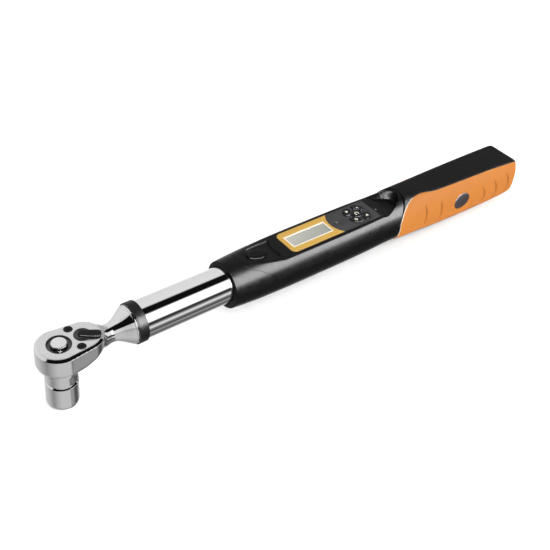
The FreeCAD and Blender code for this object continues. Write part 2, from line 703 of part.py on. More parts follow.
GRIP_MID_Z = -2.0


def section_point(angle, half, top, side_top, bottom, power):
    """Place (y, z) on a grip section: elliptical sides cut by a nearly flat top, squarer below."""
    c, s = math.cos(angle), math.sin(angle)
    if s < 0:
        tall = GRIP_MID_Z - bottom
        reach = ((abs(c) / half) ** power + (abs(s) / tall) ** power) ** (-1 / power)
        return reach * c, GRIP_MID_Z + reach * s
    tall = side_top - GRIP_MID_Z
    reach = 1 / math.hypot(c / half, s / tall)
    if reach * s > top - GRIP_MID_Z:
        reach = (top - GRIP_MID_Z) / s
    return reach * c, GRIP_MID_Z + reach * s


def section_wire(station, half, top, side_top, bottom, power, inset):
    """Closed smooth curve round the grip at one station."""
    poles = []
    for i in range(SECTION_POLES):
        angle = 2 * math.pi * (i + 0.5) / SECTION_POLES
        y, z = section_point(angle, half - inset, top - inset, side_top - inset, bottom + inset, power)
        poles.append(Vector(station, y * POLE_SWELL, GRIP_MID_Z + (z - GRIP_MID_Z) * POLE_SWELL))
    curve = Part.BSplineCurve()
    curve.buildFromPoles(poles, True, 3)
    return Part.Wire(curve.toShape())


def grip_solid(inset, x_end=None):
    """Grip's outer form, or a smaller copy of it."""
    wires = [section_wire(*row, inset) for row in GRIP_SECTIONS if x_end is None or row[0] <= x_end]
    return Part.makeLoft(wires, True, False)


def panel_plan(side, gap):
    """Plan outline of one side panel, from its top edge outwards."""
    edge = [
        (GRIP_REACH[0], 15), (346, 15.2), (358, 12.4), (366, 11.3), (373, 11.6),
        (382, 13.2), (400, 14.2), (424, 14.9), (468, 15.9), (GRIP_REACH[1], 17.8),
    ]
    lean = PANEL_LEAN if side > 0 else 0
    points = [(x, side * (y + lean + gap)) for x, y in edge]
    points += [(GRIP_REACH[1], side * 30), (GRIP_REACH[0], side * 30)]
    return polygon_prism(points, (0, 30))


def panel_region(side, gap):
    """Everything one side panel takes from the grip's skin."""
    lower = box(GRIP_REACH, sorted((side * (16.2 + gap), side * 30)), (-30, 0.001))
    region = panel_plan(side, gap).fuse(lower)
    edge = [(PANEL_FRONT_X, -30), (PANEL_FRONT_X, 8), (339.5, 13), (345, 18), (353, 22), (356, 30)]
    front = [(x + gap, z) for x, z in edge] + [(GRIP_REACH[1], 30), (GRIP_REACH[1], -30)]
    return region.common(side_prism(front, (-30, 30)))


def badge(side, grow, depth):
    """Plain oval inset in a side panel."""
    y = side * 24.0
    oval = Part.Ellipse(Vector(BADGE_X, 0, 0), BADGE_SIZE[0] + grow, BADGE_SIZE[1] + grow).toShape()
    oval.rotate(Vector(BADGE_X, 0, 0), Vector(1, 0, 0), 90)
    prism = Part.Face(Part.Wire(oval)).extrude(Vector(0, -side * depth, 0))
    prism.translate(Vector(0, y, BADGE_Z))
    return prism


def battery_bay():
    """Room for the cells, open downwards."""
    half = DOOR_HALF - 0.2
    return box((DOOR_X[0] - 4, DOOR_X[1] + 1), (-half, half), (DOOR_INNER_Z - 0.05, -2.5))


def front_lip():
    """Space kept for the housing's tail, in plan a curve across the tool."""
    return plan_curve(HOUSING_X[1] - 1.7, -TAIL_CURVE, 250)


def largest_solid(shape):
    """The main solid, without the slivers that crossing cuts leave beside it."""
    return max(shape.Solids, key=lambda solid: solid.Volume)


def grip_body(outside, inner):
    """Moulded handle with seats for the side panels, the spine and the cells."""
    spine_bore = rod(SPINE_R + 0.1, (300, SPINE_X[1] + 0.5), 0, SPINE_Z)
    door_half = DOOR_HALF + 0.2
    door_seat = box((DOOR_X[0] - 0.2, DOOR_X[1] + 0.2), (-door_half, door_half), (-30, DOOR_INNER_Z))
    cut_away = [front_lip(), spine_bore, battery_bay(), door_seat]
    for side in (1, -1):
        cut_away.append(panel_region(side, 0).cut(inner))
    hollow = grip_solid(4.0).common(box((345, SPINE_X[1] - 6), (-30, 30), (-30, 30)))
    ribs = [box((x, x + 4), (-30, 30), (-30, 30)) for x in (366, 392)]
    moulded = outside.cut(cut_away + [hollow.cut(ribs)])
    return largest_solid(moulded)


def grip_panel(outside, inner, side):
    """Soft coloured side panel."""
    skin = outside.cut(inner).common(panel_region(side, 0.05))
    return skin.cut([front_lip(), badge(side, 0.1, 2.4)])


def badge_inset(outside, side):
    """Oval inset, a little below the panel's surface."""
    return badge(side, 0, 2.4).common(outside)


def battery_door(outside):
    """Cover of the battery bay, following the grip's underside."""
    return outside.common(box(DOOR_X, (-DOOR_HALF, DOOR_HALF), (-30, DOOR_INNER_Z)))


def battery_tray():
    """Open-bottomed liner of the bay."""
    outer = box((DOOR_X[0] - 3.9, DOOR_X[1] + 0.9), (-DOOR_HALF + 0.3, DOOR_HALF - 0.3), (-10, -2.6))
    inner = box((DOOR_X[0] - 2.9, DOOR_X[1] - 0.1), (-30, 30), (-30, -3.6))
    return outer.cut(inner)


def batteries():
    """Two cells side by side, pointing opposite ways."""
    cells = []
    start = DOOR_X[0] + 1.6
    for side in (1, -1):
        y = side * 7.3
        can = rod(CELL_R, (start, start + CELL_LENGTH), y, -11.2)
        tip = (start + CELL_LENGTH, start + CELL_LENGTH + 1) if side > 0 else (start - 1, start)
        cells.append(can.fuse(rod(2.6, tip, y, -11.2)))
    return Part.makeCompound(cells)


def battery_contacts():
    """Spring coil and flat plate at each end of each cell."""
    pieces = []
    start, end = DOOR_X[0] + 1.6, DOOR_X[0] + 1.6 + CELL_LENGTH
    for side in (1, -1):
        y = side * 7.3
        plates = (DOOR_X[0] - 2.8, DOOR_X[1] - 0.6)
        for x in plates:
            pieces.append(box((x, x + 0.4), (y - 5.5, y + 5.5), (-17.5, -5.5)))
        coil_span = (plates[0] + 0.4, start) if side > 0 else (end, plates[1])
        count = 3
        step = (coil_span[1] - coil_span[0]) / count
        for i in range(count):
            x = coil_span[0] + step * (i + 0.5)
            pieces.append(Part.makeTorus(3.4, step / 2 - 0.06, Vector(x, y, -11.2), Vector(1, 0, 0)))
    return Part.makeCompound(pieces)


# ---- build ----
save("ratchet_head", ratchet_head())
save("cover_plate", cover_plate())
save("cover_screws", cover_screws())
save("drive_gear", drive_gear())
save("quick_release_button", quick_release_button())
save("release_spring", release_spring())
save("detent_ball", detent_ball())
save("pawl", pawl())
save("reversing_lever", reversing_lever())
save("lever_plunger", lever_plunger())
save("plunger_spring", plunger_spring())
save("socket", socket())

save("torque_tube", torque_tube())
save("neck_ring", neck_ring())
save("beam_pin", beam_pin())
save("flex_beam", flex_beam())
save("strain_gauges", strain_gauges())
save("sensor_lead", sensor_lead())
save("rear_plug", rear_plug())
save("spine", spine())

housing = shell()
save("front_collar", front_collar(housing))
save("main_housing", main_housing(housing))
save("bottom_cover", bottom_cover(housing))
save("bottom_screws", cover_screws_bottom())
save("indicator_lens", indicator_lens())
save("display_bezel", display_bezel())
save("window_trim", window_trim())
save("display_window", display_window())
save("lcd_module", lcd_module())
save("control_panel", control_panel())
for key_name in KEYS:
    save(f"key_{key_name}", key(key_name))
save("keypad_membrane", keypad_membrane())
save("circuit_board", circuit_board())
save("buzzer", buzzer())
save("status_leds", status_leds())

grip_outer = grip_solid(0)
grip_inner = grip_solid(PANEL_DEPTH)
save("grip_body", grip_body(grip_outer, grip_inner))
for side_name, side_sign in (("left", 1), ("right", -1)):
    save(f"grip_panel_{side_name}", grip_panel(grip_outer, grip_inner, side_sign))
    save(f"badge_{side_name}", badge_inset(grip_outer, side_sign))
save("battery_door", battery_door(grip_outer))
save("battery_tray", battery_tray())
save("batteries", batteries())
save("battery_contacts", battery_contacts())
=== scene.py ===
"""Looks of an electronic torque wrench, built round its CAD frame.

Pieces are drawn in millimetres with heights from the tube's centre line, and build() turns them into
metres in the frame: +X along the tool from the drive axis, +Z up towards the display.
"""
import json
import math

import bmesh
import bpy
import numpy as np
from mathutils import Matrix, Vector

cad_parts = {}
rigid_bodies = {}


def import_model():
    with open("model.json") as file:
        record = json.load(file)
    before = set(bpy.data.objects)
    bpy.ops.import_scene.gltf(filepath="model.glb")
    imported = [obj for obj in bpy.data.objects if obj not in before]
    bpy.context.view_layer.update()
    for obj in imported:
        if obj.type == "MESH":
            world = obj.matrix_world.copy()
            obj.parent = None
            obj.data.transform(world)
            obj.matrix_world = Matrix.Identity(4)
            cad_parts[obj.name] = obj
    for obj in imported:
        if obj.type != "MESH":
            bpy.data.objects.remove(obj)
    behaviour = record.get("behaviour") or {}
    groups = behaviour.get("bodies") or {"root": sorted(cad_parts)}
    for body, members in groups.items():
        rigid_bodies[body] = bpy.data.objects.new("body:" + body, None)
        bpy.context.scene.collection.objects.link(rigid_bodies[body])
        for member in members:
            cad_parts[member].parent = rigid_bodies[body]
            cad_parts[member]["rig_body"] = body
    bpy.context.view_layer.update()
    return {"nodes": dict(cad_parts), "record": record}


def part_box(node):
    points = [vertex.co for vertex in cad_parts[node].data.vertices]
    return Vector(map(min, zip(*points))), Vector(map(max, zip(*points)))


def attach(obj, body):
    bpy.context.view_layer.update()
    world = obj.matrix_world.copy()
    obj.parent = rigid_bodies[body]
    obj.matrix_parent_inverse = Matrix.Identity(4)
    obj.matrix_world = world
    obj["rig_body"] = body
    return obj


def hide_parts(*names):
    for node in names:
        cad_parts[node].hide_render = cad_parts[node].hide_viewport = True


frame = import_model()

# ---- places read from the frame ----
MM = 0.001
TUBE_LOW, TUBE_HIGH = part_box("torque_tube")
AXIS = (TUBE_LOW.z + TUBE_HIGH.z) / 2


def span(node, axis):
    """Lowest and highest value of a CAD node along one axis, in millimetres from the tube's centre line."""
    low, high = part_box(node)
    lift = AXIS if axis == 2 else 0.0
    return (low[axis] - lift) / MM, (high[axis] - lift) / MM


def middle_of(node, axis):
    """Middle of a CAD node along one axis, in the same millimetres."""
    return sum(span(node, axis)) / 2


HOUSING_START = span("front_collar", 0)[0]
PANEL_TOP = span("control_panel", 2)[1]
PANEL_X = (span("display_bezel", 0)[0], span("control_panel", 0)[1])
PANEL_HALF = span("control_panel", 1)[1]
GRIP_END = span("grip_body", 0)[1]
LEVER_X = 19.5
SCREW_AT = (13.1, 10.6)
TUBE_X = span("torque_tube", 0)
TUBE_R = span("torque_tube", 2)[1]
TUBE_INNER_R = span("rear_plug", 2)[1]
PLATE_BOTTOM, PLATE_TOP = span("cover_plate", 2)
SCREW_BOTTOM = span("cover_screws", 2)[0]
SOCKET_TOP = span("socket", 2)[1]
SOCKET_BOTTOM = span("socket", 2)[0]
BUTTON_TOP = span("quick_release_button", 2)[1]
DOOR_X = span("battery_door", 0)
DOOR_HALF = span("battery_door", 1)[1]
COVER_X = span("bottom_cover", 0)
COVER_HALF = span("bottom_cover", 1)[1]
BADGE_X = middle_of("badge_right", 0)
BADGE_Z = middle_of("badge_right", 2)

# ---- shape of the head ----
HEAD_R = 18.4               # wall round the drive axis
HEAD_REAR_R = 16.0          # wall round the lever axis
PLATE_R = 15.8
PLATE_REAR_R = 14.0
HEAD_TOP = 9.9
HEAD_BOTTOM = -10.0
SHOULDER_LEAN = (0.530, 0.848)  # outward and upward parts of the sloping shoulder's direction
SHOULDER_Z = 8.28           # height at which the shoulder meets the wall
FLANGE_X = 59.0
FLANGE_R = 16.15
SEAT_STEP = 0.6             # the plate's seat is this much smaller all round
POCKETS = (
    # station, radius, height of the floor: gear, drive boss, which goes right through, and lever
    (0, 12.9, -4.6), (0, 10.65, -100), (LEVER_X, 6.9, -7.5),
)
RING_R = 17.35              # black ring at the front of the tube
NECK = (
    # station, radius
    (20, 9.2), (30, 9.8), (34, 9.5), (38, 8.6), (41, 8.0), (44, 8.05), (47, 8.9),
    (50, 10.5), (53, 12.5), (56, 14.5), (57.6, 15.4), (61, 16.2),
)

# ---- shape of the housing and the grip ----
HOUSING_AXIS_Z = -0.8
SKIN_ANGLES = np.radians(np.concatenate([
    # closer together over the top, where the display and the keys are
    np.linspace(20, 160, 320, endpoint=False), np.linspace(160, 380, 120, endpoint=False)
]))
BARREL = (
    # station, radius
    (149.2, 20.9), (156, 21.5), (170, 22.4), (200, 23.4),
    (250, 23.8), (300, 23.6), (330, 22.9), (352, 23.2),
)
SIDE_R = 22.4               # the barrel's radius, nearly, that the seam and the tail are curved by
CROWN_HALF = 15.5           # half width of the crown where the seam crosses it
SEAM_X = 162.0
SEAM_CURVE = 0.053
SEAM_GAP = 0.25
TAIL_X = 350.0
TAIL_CURVE = 0.028
TAIL_GAP = 0.4
SLOPE = 0.132               # rise of the crown towards the display
SLOPE_END = 202.0
BAND_SLOPE = 0.11           # fall of the crown behind the key panel
BAND_END = 331.0
RIM_X = 344.0
DIMPLE_DEPTH = 1.5
DIMPLE = (
    # station, half width
    (169.0, 0), (170.5, 2.6), (173, 5.6), (177, 8.5), (182, 10.0), (188.5, 11.1), (200, 12.3), (206, 12.9),
)
LENS_X = 183.5
LENS_HALF = (10.2, 6.4)
GRIP_SECTIONS = (
    # station, half width, flat top, height of the side ellipse, bottom, squareness below
    (336.0, 22.5, 22.6, 24.6, -23.8, 2.2),
    (356.0, 22.4, 22.4, 24.8, -24.3, 2.4),
    (368.0, 22.2, 22.2, 25.0, -24.4, 2.6),
    (380.0, 22.3, 21.2, 25.4, -24.3, 2.9),
    (396.0, 22.5, 20.5, 25.7, -24.0, 3.2),
    (424.0, 22.8, 19.9, 26.1, -23.6, 3.6),
    (456.0, 22.9, 19.2, 26.5, -23.4, 3.8),
    (480.0, 22.6, 18.5, 27.2, -23.4, 3.9),
    (498.0, 22.0, 17.7, 28.6, -23.3, 3.9),
    (510.0, 21.6, 17.2, 28.6, -23.2, 3.8),
)
GRIP_MID_Z = -2.0
END_ROUND = 9.0             # length over which the grip's end rounds off
PANEL_FRONT = 337.5
PANEL_EDGE = (
    # station, distance of a side panel's upper edge from the middle plane
    (337.5, 22.0), (339, 21.2), (342, 19.2), (347, 16.4), (352, 14.2), (358, 12.3), (364, 11.3),
    (370, 11.2), (376, 12.0), (384, 13.4), (400, 14.2), (424, 14.9), (468, 15.9), (490, 16.8), (510, 17.8),
)
PANEL_LOW = 16.4            # distance of its lower edge from the middle plane
LIP_END = 18.5              # distance of the pale bead's lower end from the middle plane
PANEL_LEAN = 2.5            # the left panel's upper edge lies this much further out
PANEL_BED = 1.6             # how far the moulding is set back under a panel
BADGE_SIZE = (10.4, 8.4)
GROOVE_DEPTH = 1.6
GROOVES = (
    # upper, middle and lower points of each groove as (x, z)
    ((370.5, 12.6), (372.8, 0.3), (371.9, -10.9)),
    ((391.2, 10.3), (393.7, -2.7), (393.1, -12.4)),
    ((449.3, 7.7), (456.6, -3.5), (454.6, -16.1)),
    ((467.8, 8.7), (474.0, -0.9), (473.5, -16.0)),
    ((486.4, 9.8), (493.7, -2.7), (489.4, -15.3)),
)


# ---- node graphs and materials ----
def set_inputs(tree, node, values):
    """Fill inputs of a node with values, or join them to other nodes' outputs."""
    for name, value in values.items():
        if isinstance(value, bpy.types.NodeSocket):
            tree.links.new(value, node.inputs[name])
        else:
            node.inputs[name].default_value = value


def add_node(tree, kind, values, operation=None):
    """A new node with some of its inputs filled."""
    node = tree.nodes.new(kind)
    if operation:
        node.operation = operation
    set_inputs(tree, node, values)
    return node


def shader(name):
    """A new material, its node tree with object coordinates, and its Principled shader."""
    material = bpy.data.materials.new(name)
    material.use_nodes = True
    tree = material.node_tree
    add_node(tree, "ShaderNodeTexCoord", {})
    return material, tree, tree.nodes["Principled BSDF"]


def object_place(tree):
    """The object coordinates in a material's node tree."""
    return tree.nodes["Texture Coordinate"].outputs["Object"]


def noise(tree, size_mm, detail=3.0, stretch=(1, 1, 1)):
    """Noise whose features are about size_mm across, stretched along an axis if asked."""
    place = add_node(tree, "ShaderNodeMapping", {"Vector": object_place(tree), "Scale": stretch})
    values = {"Vector": place.outputs["Vector"], "Scale": 1 / (size_mm * MM), "Detail": detail}
    return add_node(tree, "ShaderNodeTexNoise", values).outputs["Fac"]


def ranged(tree, value, low, high, source=(0.3, 0.7)):
    """Map a value, a noise unless its range is given, to a range."""
    values = {"Value": value, "From Min": source[0], "From Max": source[1], "To Min": low, "To Max": high}
    return add_node(tree, "ShaderNodeMapRange", values).outputs["Result"]


def tinted(tree, factor, dark, light):
    """Colour between two shades; the dark one may be given as a share of the light one."""
    if isinstance(dark, float):
        dark = [dark * part for part in light]
    ramp = add_node(tree, "ShaderNodeValToRGB", {"Fac": factor})
    ramp.color_ramp.elements[0].color = (*dark, 1)
    ramp.color_ramp.elements[1].color = (*light, 1)
    return ramp.outputs["Color"]


def relief(tree, height, depth_mm, strength):
    """Normals of a fine relief from a noise value."""
    values = {"Height": height, "Distance": depth_mm * MM, "Strength": strength}
    return add_node(tree, "ShaderNodeBump", values).outputs["Normal"]


def metal(name, colour, roughness, grain_mm=0.5, depth_mm=0.0008, stretch=(1, 1, 1)):
    """Plated or machined metal with faint haze, fine scratches and uneven polish."""
    material, tree, bsdf = shader(name)
    polish = noise(tree, 2.5, 5.0, stretch)
    set_inputs(tree, bsdf, {
        "Metallic": 1.0,
        "Base Color": tinted(tree, noise(tree, 9.0, 4.0), 0.93, colour),
        "Roughness": ranged(tree, polish, roughness * 0.75, roughness * 1.5),
        "Normal": relief(tree, noise(tree, grain_mm, 2.0, stretch), depth_mm, 0.5),
    })
    return material


def plastic(name, colour, roughness, grain_mm=0.35, depth_mm=0.02, variation=0.85, gloss=0.5):
    """Moulded plastic or rubber with a fine grain and uneven sheen; gloss is the shader's specular level."""
    material, tree, bsdf = shader(name)
    rub = noise(tree, 5.0, 6.0)
    set_inputs(tree, bsdf, {
        "Specular IOR Level": gloss,
        "Base Color": tinted(tree, noise(tree, 14.0, 4.0), variation, colour),
        "Roughness": ranged(tree, rub, roughness * 0.85, roughness * 1.12),
        "Normal": relief(tree, noise(tree, grain_mm, 3.0), depth_mm, 0.6),
    })
    return material


def paint_shade_where(material, attribute, floor):
    """Painted shade: multiply the base colour down to `floor` where a stored vertex value reaches 1, standing
    in for the shade that falls in hollows.
    """
    tree = material.node_tree
    bsdf = tree.nodes["Principled BSDF"]
    stored = add_node(tree, "ShaderNodeAttribute", {})
    stored.attribute_name = attribute
    kept = ranged(tree, stored.outputs["Fac"], 1.0, floor, (0, 1))
    unshaded_colour = bsdf.inputs["Base Color"].links[0].from_socket
    painted_shade = add_node(tree, "ShaderNodeVectorMath", {"Vector": unshaded_colour, "Scale": kept}, "SCALE")
    set_inputs(tree, bsdf, {"Base Color": painted_shade.outputs["Vector"]})


def clear_cover(name):
    """Clear display cover: gloss with very little body of its own."""
    material, tree, bsdf = shader(name)
    smear = ranged(tree, noise(tree, 6.0, 3.0), 0.04, 0.1)
    set_inputs(tree, bsdf, {"Base Color": (0.9, 0.92, 0.9, 1), "Alpha": 0.08, "Roughness": smear})
    return material


def blank_display(name):
    """Unlit display glass, darker towards its rear end, with a faint cell pattern."""
    material, tree, bsdf = shader(name)
    split = add_node(tree, "ShaderNodeSeparateXYZ", {"Vector": object_place(tree)})
    along = ranged(tree, split.outputs["X"], 0, 1, (0.22, 0.264))
    cells = noise(tree, 0.6, 1.0)
    set_inputs(tree, bsdf, {
        "Base Color": tinted(tree, along, (0.235, 0.232, 0.195), (0.135, 0.138, 0.115)),
        "Roughness": ranged(tree, cells, 0.28, 0.34),
        "Normal": relief(tree, cells, 0.001, 0.15),
    })
    return material


ALONG = (0.08, 1, 1)
METAL_LOOKS = {
    # colour, roughness, then grain and relief in millimetres, and stretch of the grain
    "chrome": ((0.86, 0.86, 0.87), 0.055, 0.8, 0.0004),
    "satin_steel": ((0.80, 0.80, 0.81), 0.24, 0.25, 0.002),
    "dark_steel": ((0.10, 0.10, 0.104), 0.30, 0.4, 0.004),
    "spring_steel": ((0.55, 0.55, 0.56), 0.28),
    "beam_steel": ((0.58, 0.58, 0.60), 0.32, 0.4, 0.004, ALONG),
    "plug_aluminium": ((0.75, 0.75, 0.77), 0.3, 0.4, 0.004),
    "contact_metal": ((0.70, 0.66, 0.58), 0.25),
    "gauge_foil": ((0.60, 0.45, 0.18), 0.3),
}
PLASTIC_LOOKS = {
    # colour, roughness, then grain and relief in millimetres, darkest share of the colour, and gloss
    "ring_black": ((0.004, 0.004, 0.0044), 0.34, 0.4, 0.008, 0.85, 0.13),
    "housing_black": ((0.0022, 0.0022, 0.0024), 0.31, 0.45, 0.022, 0.85, 0.10),
    "lens_black": ((0.003, 0.003, 0.0034), 0.13, 0.8, 0.001, 0.8, 0.09),
    "bezel_amber": ((0.44, 0.262, 0.046), 0.42, 0.4, 0.004, 0.94, 0.2),
    "trim_cream": ((0.70, 0.67, 0.56), 0.4, 0.4, 0.004, 0.96, 0.3),
    "panel_grey": ((0.025, 0.025, 0.0265), 0.50, 0.3, 0.01, 0.85, 0.12),
    "key_black": ((0.004, 0.004, 0.0045), 0.20, 0.6, 0.002, 0.8, 0.2),
    "mat_rubber": ((0.10, 0.10, 0.11), 0.7),
    "board_green": ((0.03, 0.16, 0.07), 0.35),
    "led_clear": ((0.15, 0.155, 0.155), 0.3, 0.5, 0.002),
    "grip_black": ((0.0014, 0.0014, 0.0015), 0.46, 0.5, 0.03, 0.85, 0.07),
    "grip_orange": ((0.43, 0.150, 0.025), 0.62, 0.45, 0.025, 0.93, 0.03),
    "badge_black": ((0.018, 0.012, 0.014), 0.42, 0.4, 0.006, 0.85, 0.3),
    "cell_sleeve": ((0.10, 0.12, 0.16), 0.3),
    "wire_sleeve": ((0.35, 0.05, 0.04), 0.5),
}
MATERIALS = {name: metal(name, *look) for name, look in METAL_LOOKS.items()}
MATERIALS |= {name: plastic(name, *look) for name, look in PLASTIC_LOOKS.items()}
MATERIALS["window_clear"] = clear_cover("window_clear")
MATERIALS["lcd_grey"] = blank_display("lcd_grey")
# Painted shade in the side panels' grooves: the orange is darkened where the grooves are deep.
paint_shade_where(MATERIALS["grip_orange"], "groove", 0.03)
for row in frame["record"]["subparts"]:
    for material_slot in frame["nodes"][row["node"]].material_slots:
        material_slot.material = MATERIALS[row["material_slot"]]


# ---- mesh helpers ----
def add_object(name, data):
    """A new object in the scene."""
    thing = bpy.data.objects.new(name, data)
    bpy.context.scene.collection.objects.link(thing)
    return thing


def build(name, points, faces, slot, body, stands_for=(), normals=None):
    """Make one piece from points in millimetres, and say what it rides on and what it stands for."""
    co = np.asarray(points, float).reshape(-1, 3) * MM
    co[:, 2] += AXIS
    mesh = bpy.data.meshes.new(name)
    mesh.from_pydata(co.tolist(), [], [tuple(int(i) for i in f) for f in faces])
    mesh.validate()
    return finish_piece(name, mesh, slot, body, stands_for, normals)


def finish_piece(name, mesh, slot, body, stands_for=(), normals=None):
    """Shade, paint and place a finished mesh."""
    mesh.shade_smooth()
    if normals is not None:
        mesh.normals_split_custom_set_from_vertices(normals.tolist())
    mesh.materials.append(MATERIALS[slot])
    piece = add_object(name, mesh)
    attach(piece, body)
    if stands_for:
        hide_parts(*stands_for)
    return piece


def grid_faces(rows, columns, closed, flip=False):
    """Quads over a grid of points, joined round the columns if closed."""
    index = np.arange(rows * columns).reshape(rows, columns)
    right = np.roll(index, -1, axis=1)
    if not closed:
        index, right = index[:, :-1], right[:, :-1]
    quads = np.stack([index[:-1], right[:-1], right[1:], index[1:]], axis=-1).reshape(-1, 4)
    return quads[:, ::-1] if flip else quads


def build_grid(name, rows, slot, body, stands_for=(), closed=True, flip=True):
    """Make one piece from rows of points, joined round the columns if closed."""
    faces = grid_faces(len(rows), len(rows[0]), closed, flip)
    return build(name, rows, faces, slot, body, stands_for)


def crease(piece, degrees):
    """Shade as sharp the edges that turn by more than an angle."""
    piece.data.set_sharp_from_angle(angle=math.radians(degrees))


def full_turn(steps):
    """Evenly spaced angles once round."""
    return np.linspace(0, 2 * math.pi, steps, endpoint=False)


def spin_z(name, profile, slot, body, stands_for=(), steps=192, places=((0, 0),)):
    """Turn an outline of (radius, z) about upright axes. A radius may be a function of the angle."""
    angle = full_turn(steps)
    points, faces = [], []
    for x, y in places:
        faces.append(grid_faces(len(profile), steps, True) + len(points) * steps)
        for radius, z in profile:
            r = radius(angle) if callable(radius) else np.full(steps, float(radius))
            level = np.full(steps, float(z))
            points.append(np.stack([x + r * np.cos(angle), y + r * np.sin(angle), level], -1))
    return build(name, points, np.concatenate(faces), slot, body, stands_for)


def spin_x(name, profile, slot, body, stands_for=(), steps=192):
    """Turn an outline of (x, radius) about the tube's centre line."""
    angle = full_turn(steps)
    rings = []
    for x, r in profile:
        rings.append(np.stack([np.full(steps, float(x)), r * np.cos(angle), r * np.sin(angle)], -1))
    return build_grid(name, rings, slot, body, stands_for)


def rounded(profile, radius, steps=5):
    """Round the corners of an open outline; points may carry their own radius as a third value."""
    result = [profile[0][:2]]
    for before, here, after in zip(profile, profile[1:], profile[2:]):
        own = here[2] if len(here) > 2 else radius
        a, b, c = (np.array(p[:2], float) for p in (before, here, after))
        cut = min(own, 0.45 * np.linalg.norm(a - b), 0.45 * np.linalg.norm(c - b))
        start = b + (a - b) / np.linalg.norm(a - b) * cut
        end = b + (c - b) / np.linalg.norm(c - b) * cut
        for t in np.linspace(0, 1, steps):
            result.append(tuple((1 - t) ** 2 * start + 2 * t * (1 - t) * b + t ** 2 * end))
    result.append(profile[-1][:2])
    return result


def dressed(node, width_mm):
    """A copy of a CAD node with clean flat faces and softened edges, standing for the node."""
    source = frame["nodes"][node]
    work = bmesh.new()
    work.from_mesh(source.data)
    bmesh.ops.remove_doubles(work, verts=work.verts, dist=2e-6)
    bmesh.ops.dissolve_limit(
        work, angle_limit=math.radians(0.6), verts=work.verts, edges=work.edges, delimit={"NORMAL"}
    )
    sharp = [e for e in work.edges if e.is_manifold and e.calc_face_angle(0) > math.radians(32)]
    bmesh.ops.bevel(
        work, geom=sharp, offset=width_mm * MM, segments=2, profile=0.5, affect="EDGES", clamp_overlap=True
    )
    bmesh.ops.triangulate(work, faces=[f for f in work.faces if len(f.verts) > 4])
    mesh = bpy.data.meshes.new(f"{node}_edged")
    work.to_mesh(mesh)
    work.free()
    slot = next(row["material_slot"] for row in frame["record"]["subparts"] if row["node"] == node)
    crease(finish_piece(f"{node}_edged", mesh, slot, source["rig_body"], (node,)), 28)


def polygon_radius(sides, across_flats, start=0.0):
    """Radius of a regular polygon as a function of the angle."""
    sector = 2 * math.pi / sides

    def radius(angle):
        return across_flats / 2 / np.cos(np.mod(angle - start + sector / 2, sector) - sector / 2)

    return radius


def smoothstep(low, high, value):
    """0 below low, 1 above high, and smooth between."""
    t = np.clip((value - low) / (high - low), 0, 1)
    return t * t * (3 - 2 * t)


def smooth_min(a, b, k):
    """The lesser of two values, with the corner between them rounded."""
    h = np.maximum(k - np.abs(a - b), 0) / k
    return np.minimum(a, b) - h * h * k / 4


def smooth_max(a, b, k):
    """The greater of two values, with the corner between them rounded."""
    return -smooth_min(-a, -b, k)


def curve_through(stations):
    """A smooth function through (x, value) stations, level with its neighbours' slope at each."""
    xs, ys = np.array(stations, float).T
    slopes = np.gradient(ys, xs)

    def value(x):
        x = np.clip(np.asarray(x, float), xs[0], xs[-1])
        i = np.clip(np.searchsorted(xs, x) - 1, 0, len(xs) - 2)
        h = xs[i + 1] - xs[i]
        t = (x - xs[i]) / h
        near = (1 + 2 * t) * (1 - t) ** 2 * ys[i] + t * (1 - t) ** 2 * h * slopes[i]
        return near + t * t * (3 - 2 * t) * ys[i + 1] + t * t * (t - 1) * h * slopes[i + 1]

    return value


# ---- surfaces from a distance field ----
def gradient(field, p, step=0.02):
    """Slope of a field at many points."""
    parts = []
    for axis in range(3):
        shift = np.zeros(3)
        shift[axis] = step
        parts.append((field(p + shift) - field(p - shift)) / (2 * step))
    return np.stack(parts, -1)


def field_surface(field, low, high, step):
    """Points, quads and normals of the surface where a field is zero."""
    axes = [np.arange(a, b + step, step) for a, b in zip(low, high)]
    corner = np.stack(np.meshgrid(*axes, indexing="ij"), -1)
    inside = field(corner.reshape(-1, 3)).reshape(corner.shape[:3]) < 0
    total = np.zeros(tuple(n - 1 for n in inside.shape), int)
    for i, j, k in np.ndindex(2, 2, 2):
        total += inside[i:i + total.shape[0], j:j + total.shape[1], k:k + total.shape[2]]
    mixed = (total > 0) & (total < 8)
    number = np.full(mixed.shape, -1)
    number[mixed] = np.arange(mixed.sum())
    points = corner[:-1, :-1, :-1][mixed] + step / 2
    for _ in range(8):
        slope = gradient(field, points)
        size = np.maximum((slope ** 2).sum(-1), 0.05)
        move = slope * (field(points) / size)[:, None]
        points = points - np.clip(move, -step, step)
    quads = []
    for axis in range(3):
        n = np.moveaxis(number, axis, 0)
        s = np.moveaxis(inside, axis, 0)
        change = s[1:, 1:-1, 1:-1] != s[:-1, 1:-1, 1:-1]
        leaving = s[:-1, 1:-1, 1:-1] & change
        cells = np.stack([n[:, :-1, :-1], n[:, 1:, :-1], n[:, 1:, 1:], n[:, :-1, 1:]], -1)
        forward = leaving if axis != 1 else change & ~leaving
        quads.append(cells[forward])
        quads.append(cells[change & ~forward][:, ::-1])
    slope = gradient(field, points)
    normals = slope / np.linalg.norm(slope, axis=-1, keepdims=True)
    return points, np.concatenate(quads), normals


# ---- ratchet head ----
neck_radius = curve_through(NECK)


def teardrop(p, front, rear):
    """Distance in plan from the outline that hulls the drive circle and the lever circle."""
    x, y = p[..., 0], np.abs(p[..., 1])
    lean = (front - rear) / LEVER_X
    cosine = math.sqrt(1 - lean * lean)
    along = cosine * x - lean * y
    side = cosine * y + lean * x - front
    tip = np.hypot(x - LEVER_X, y) - rear
    return np.where(along < 0, np.hypot(x, y) - front, np.where(along > cosine * LEVER_X, tip, side))


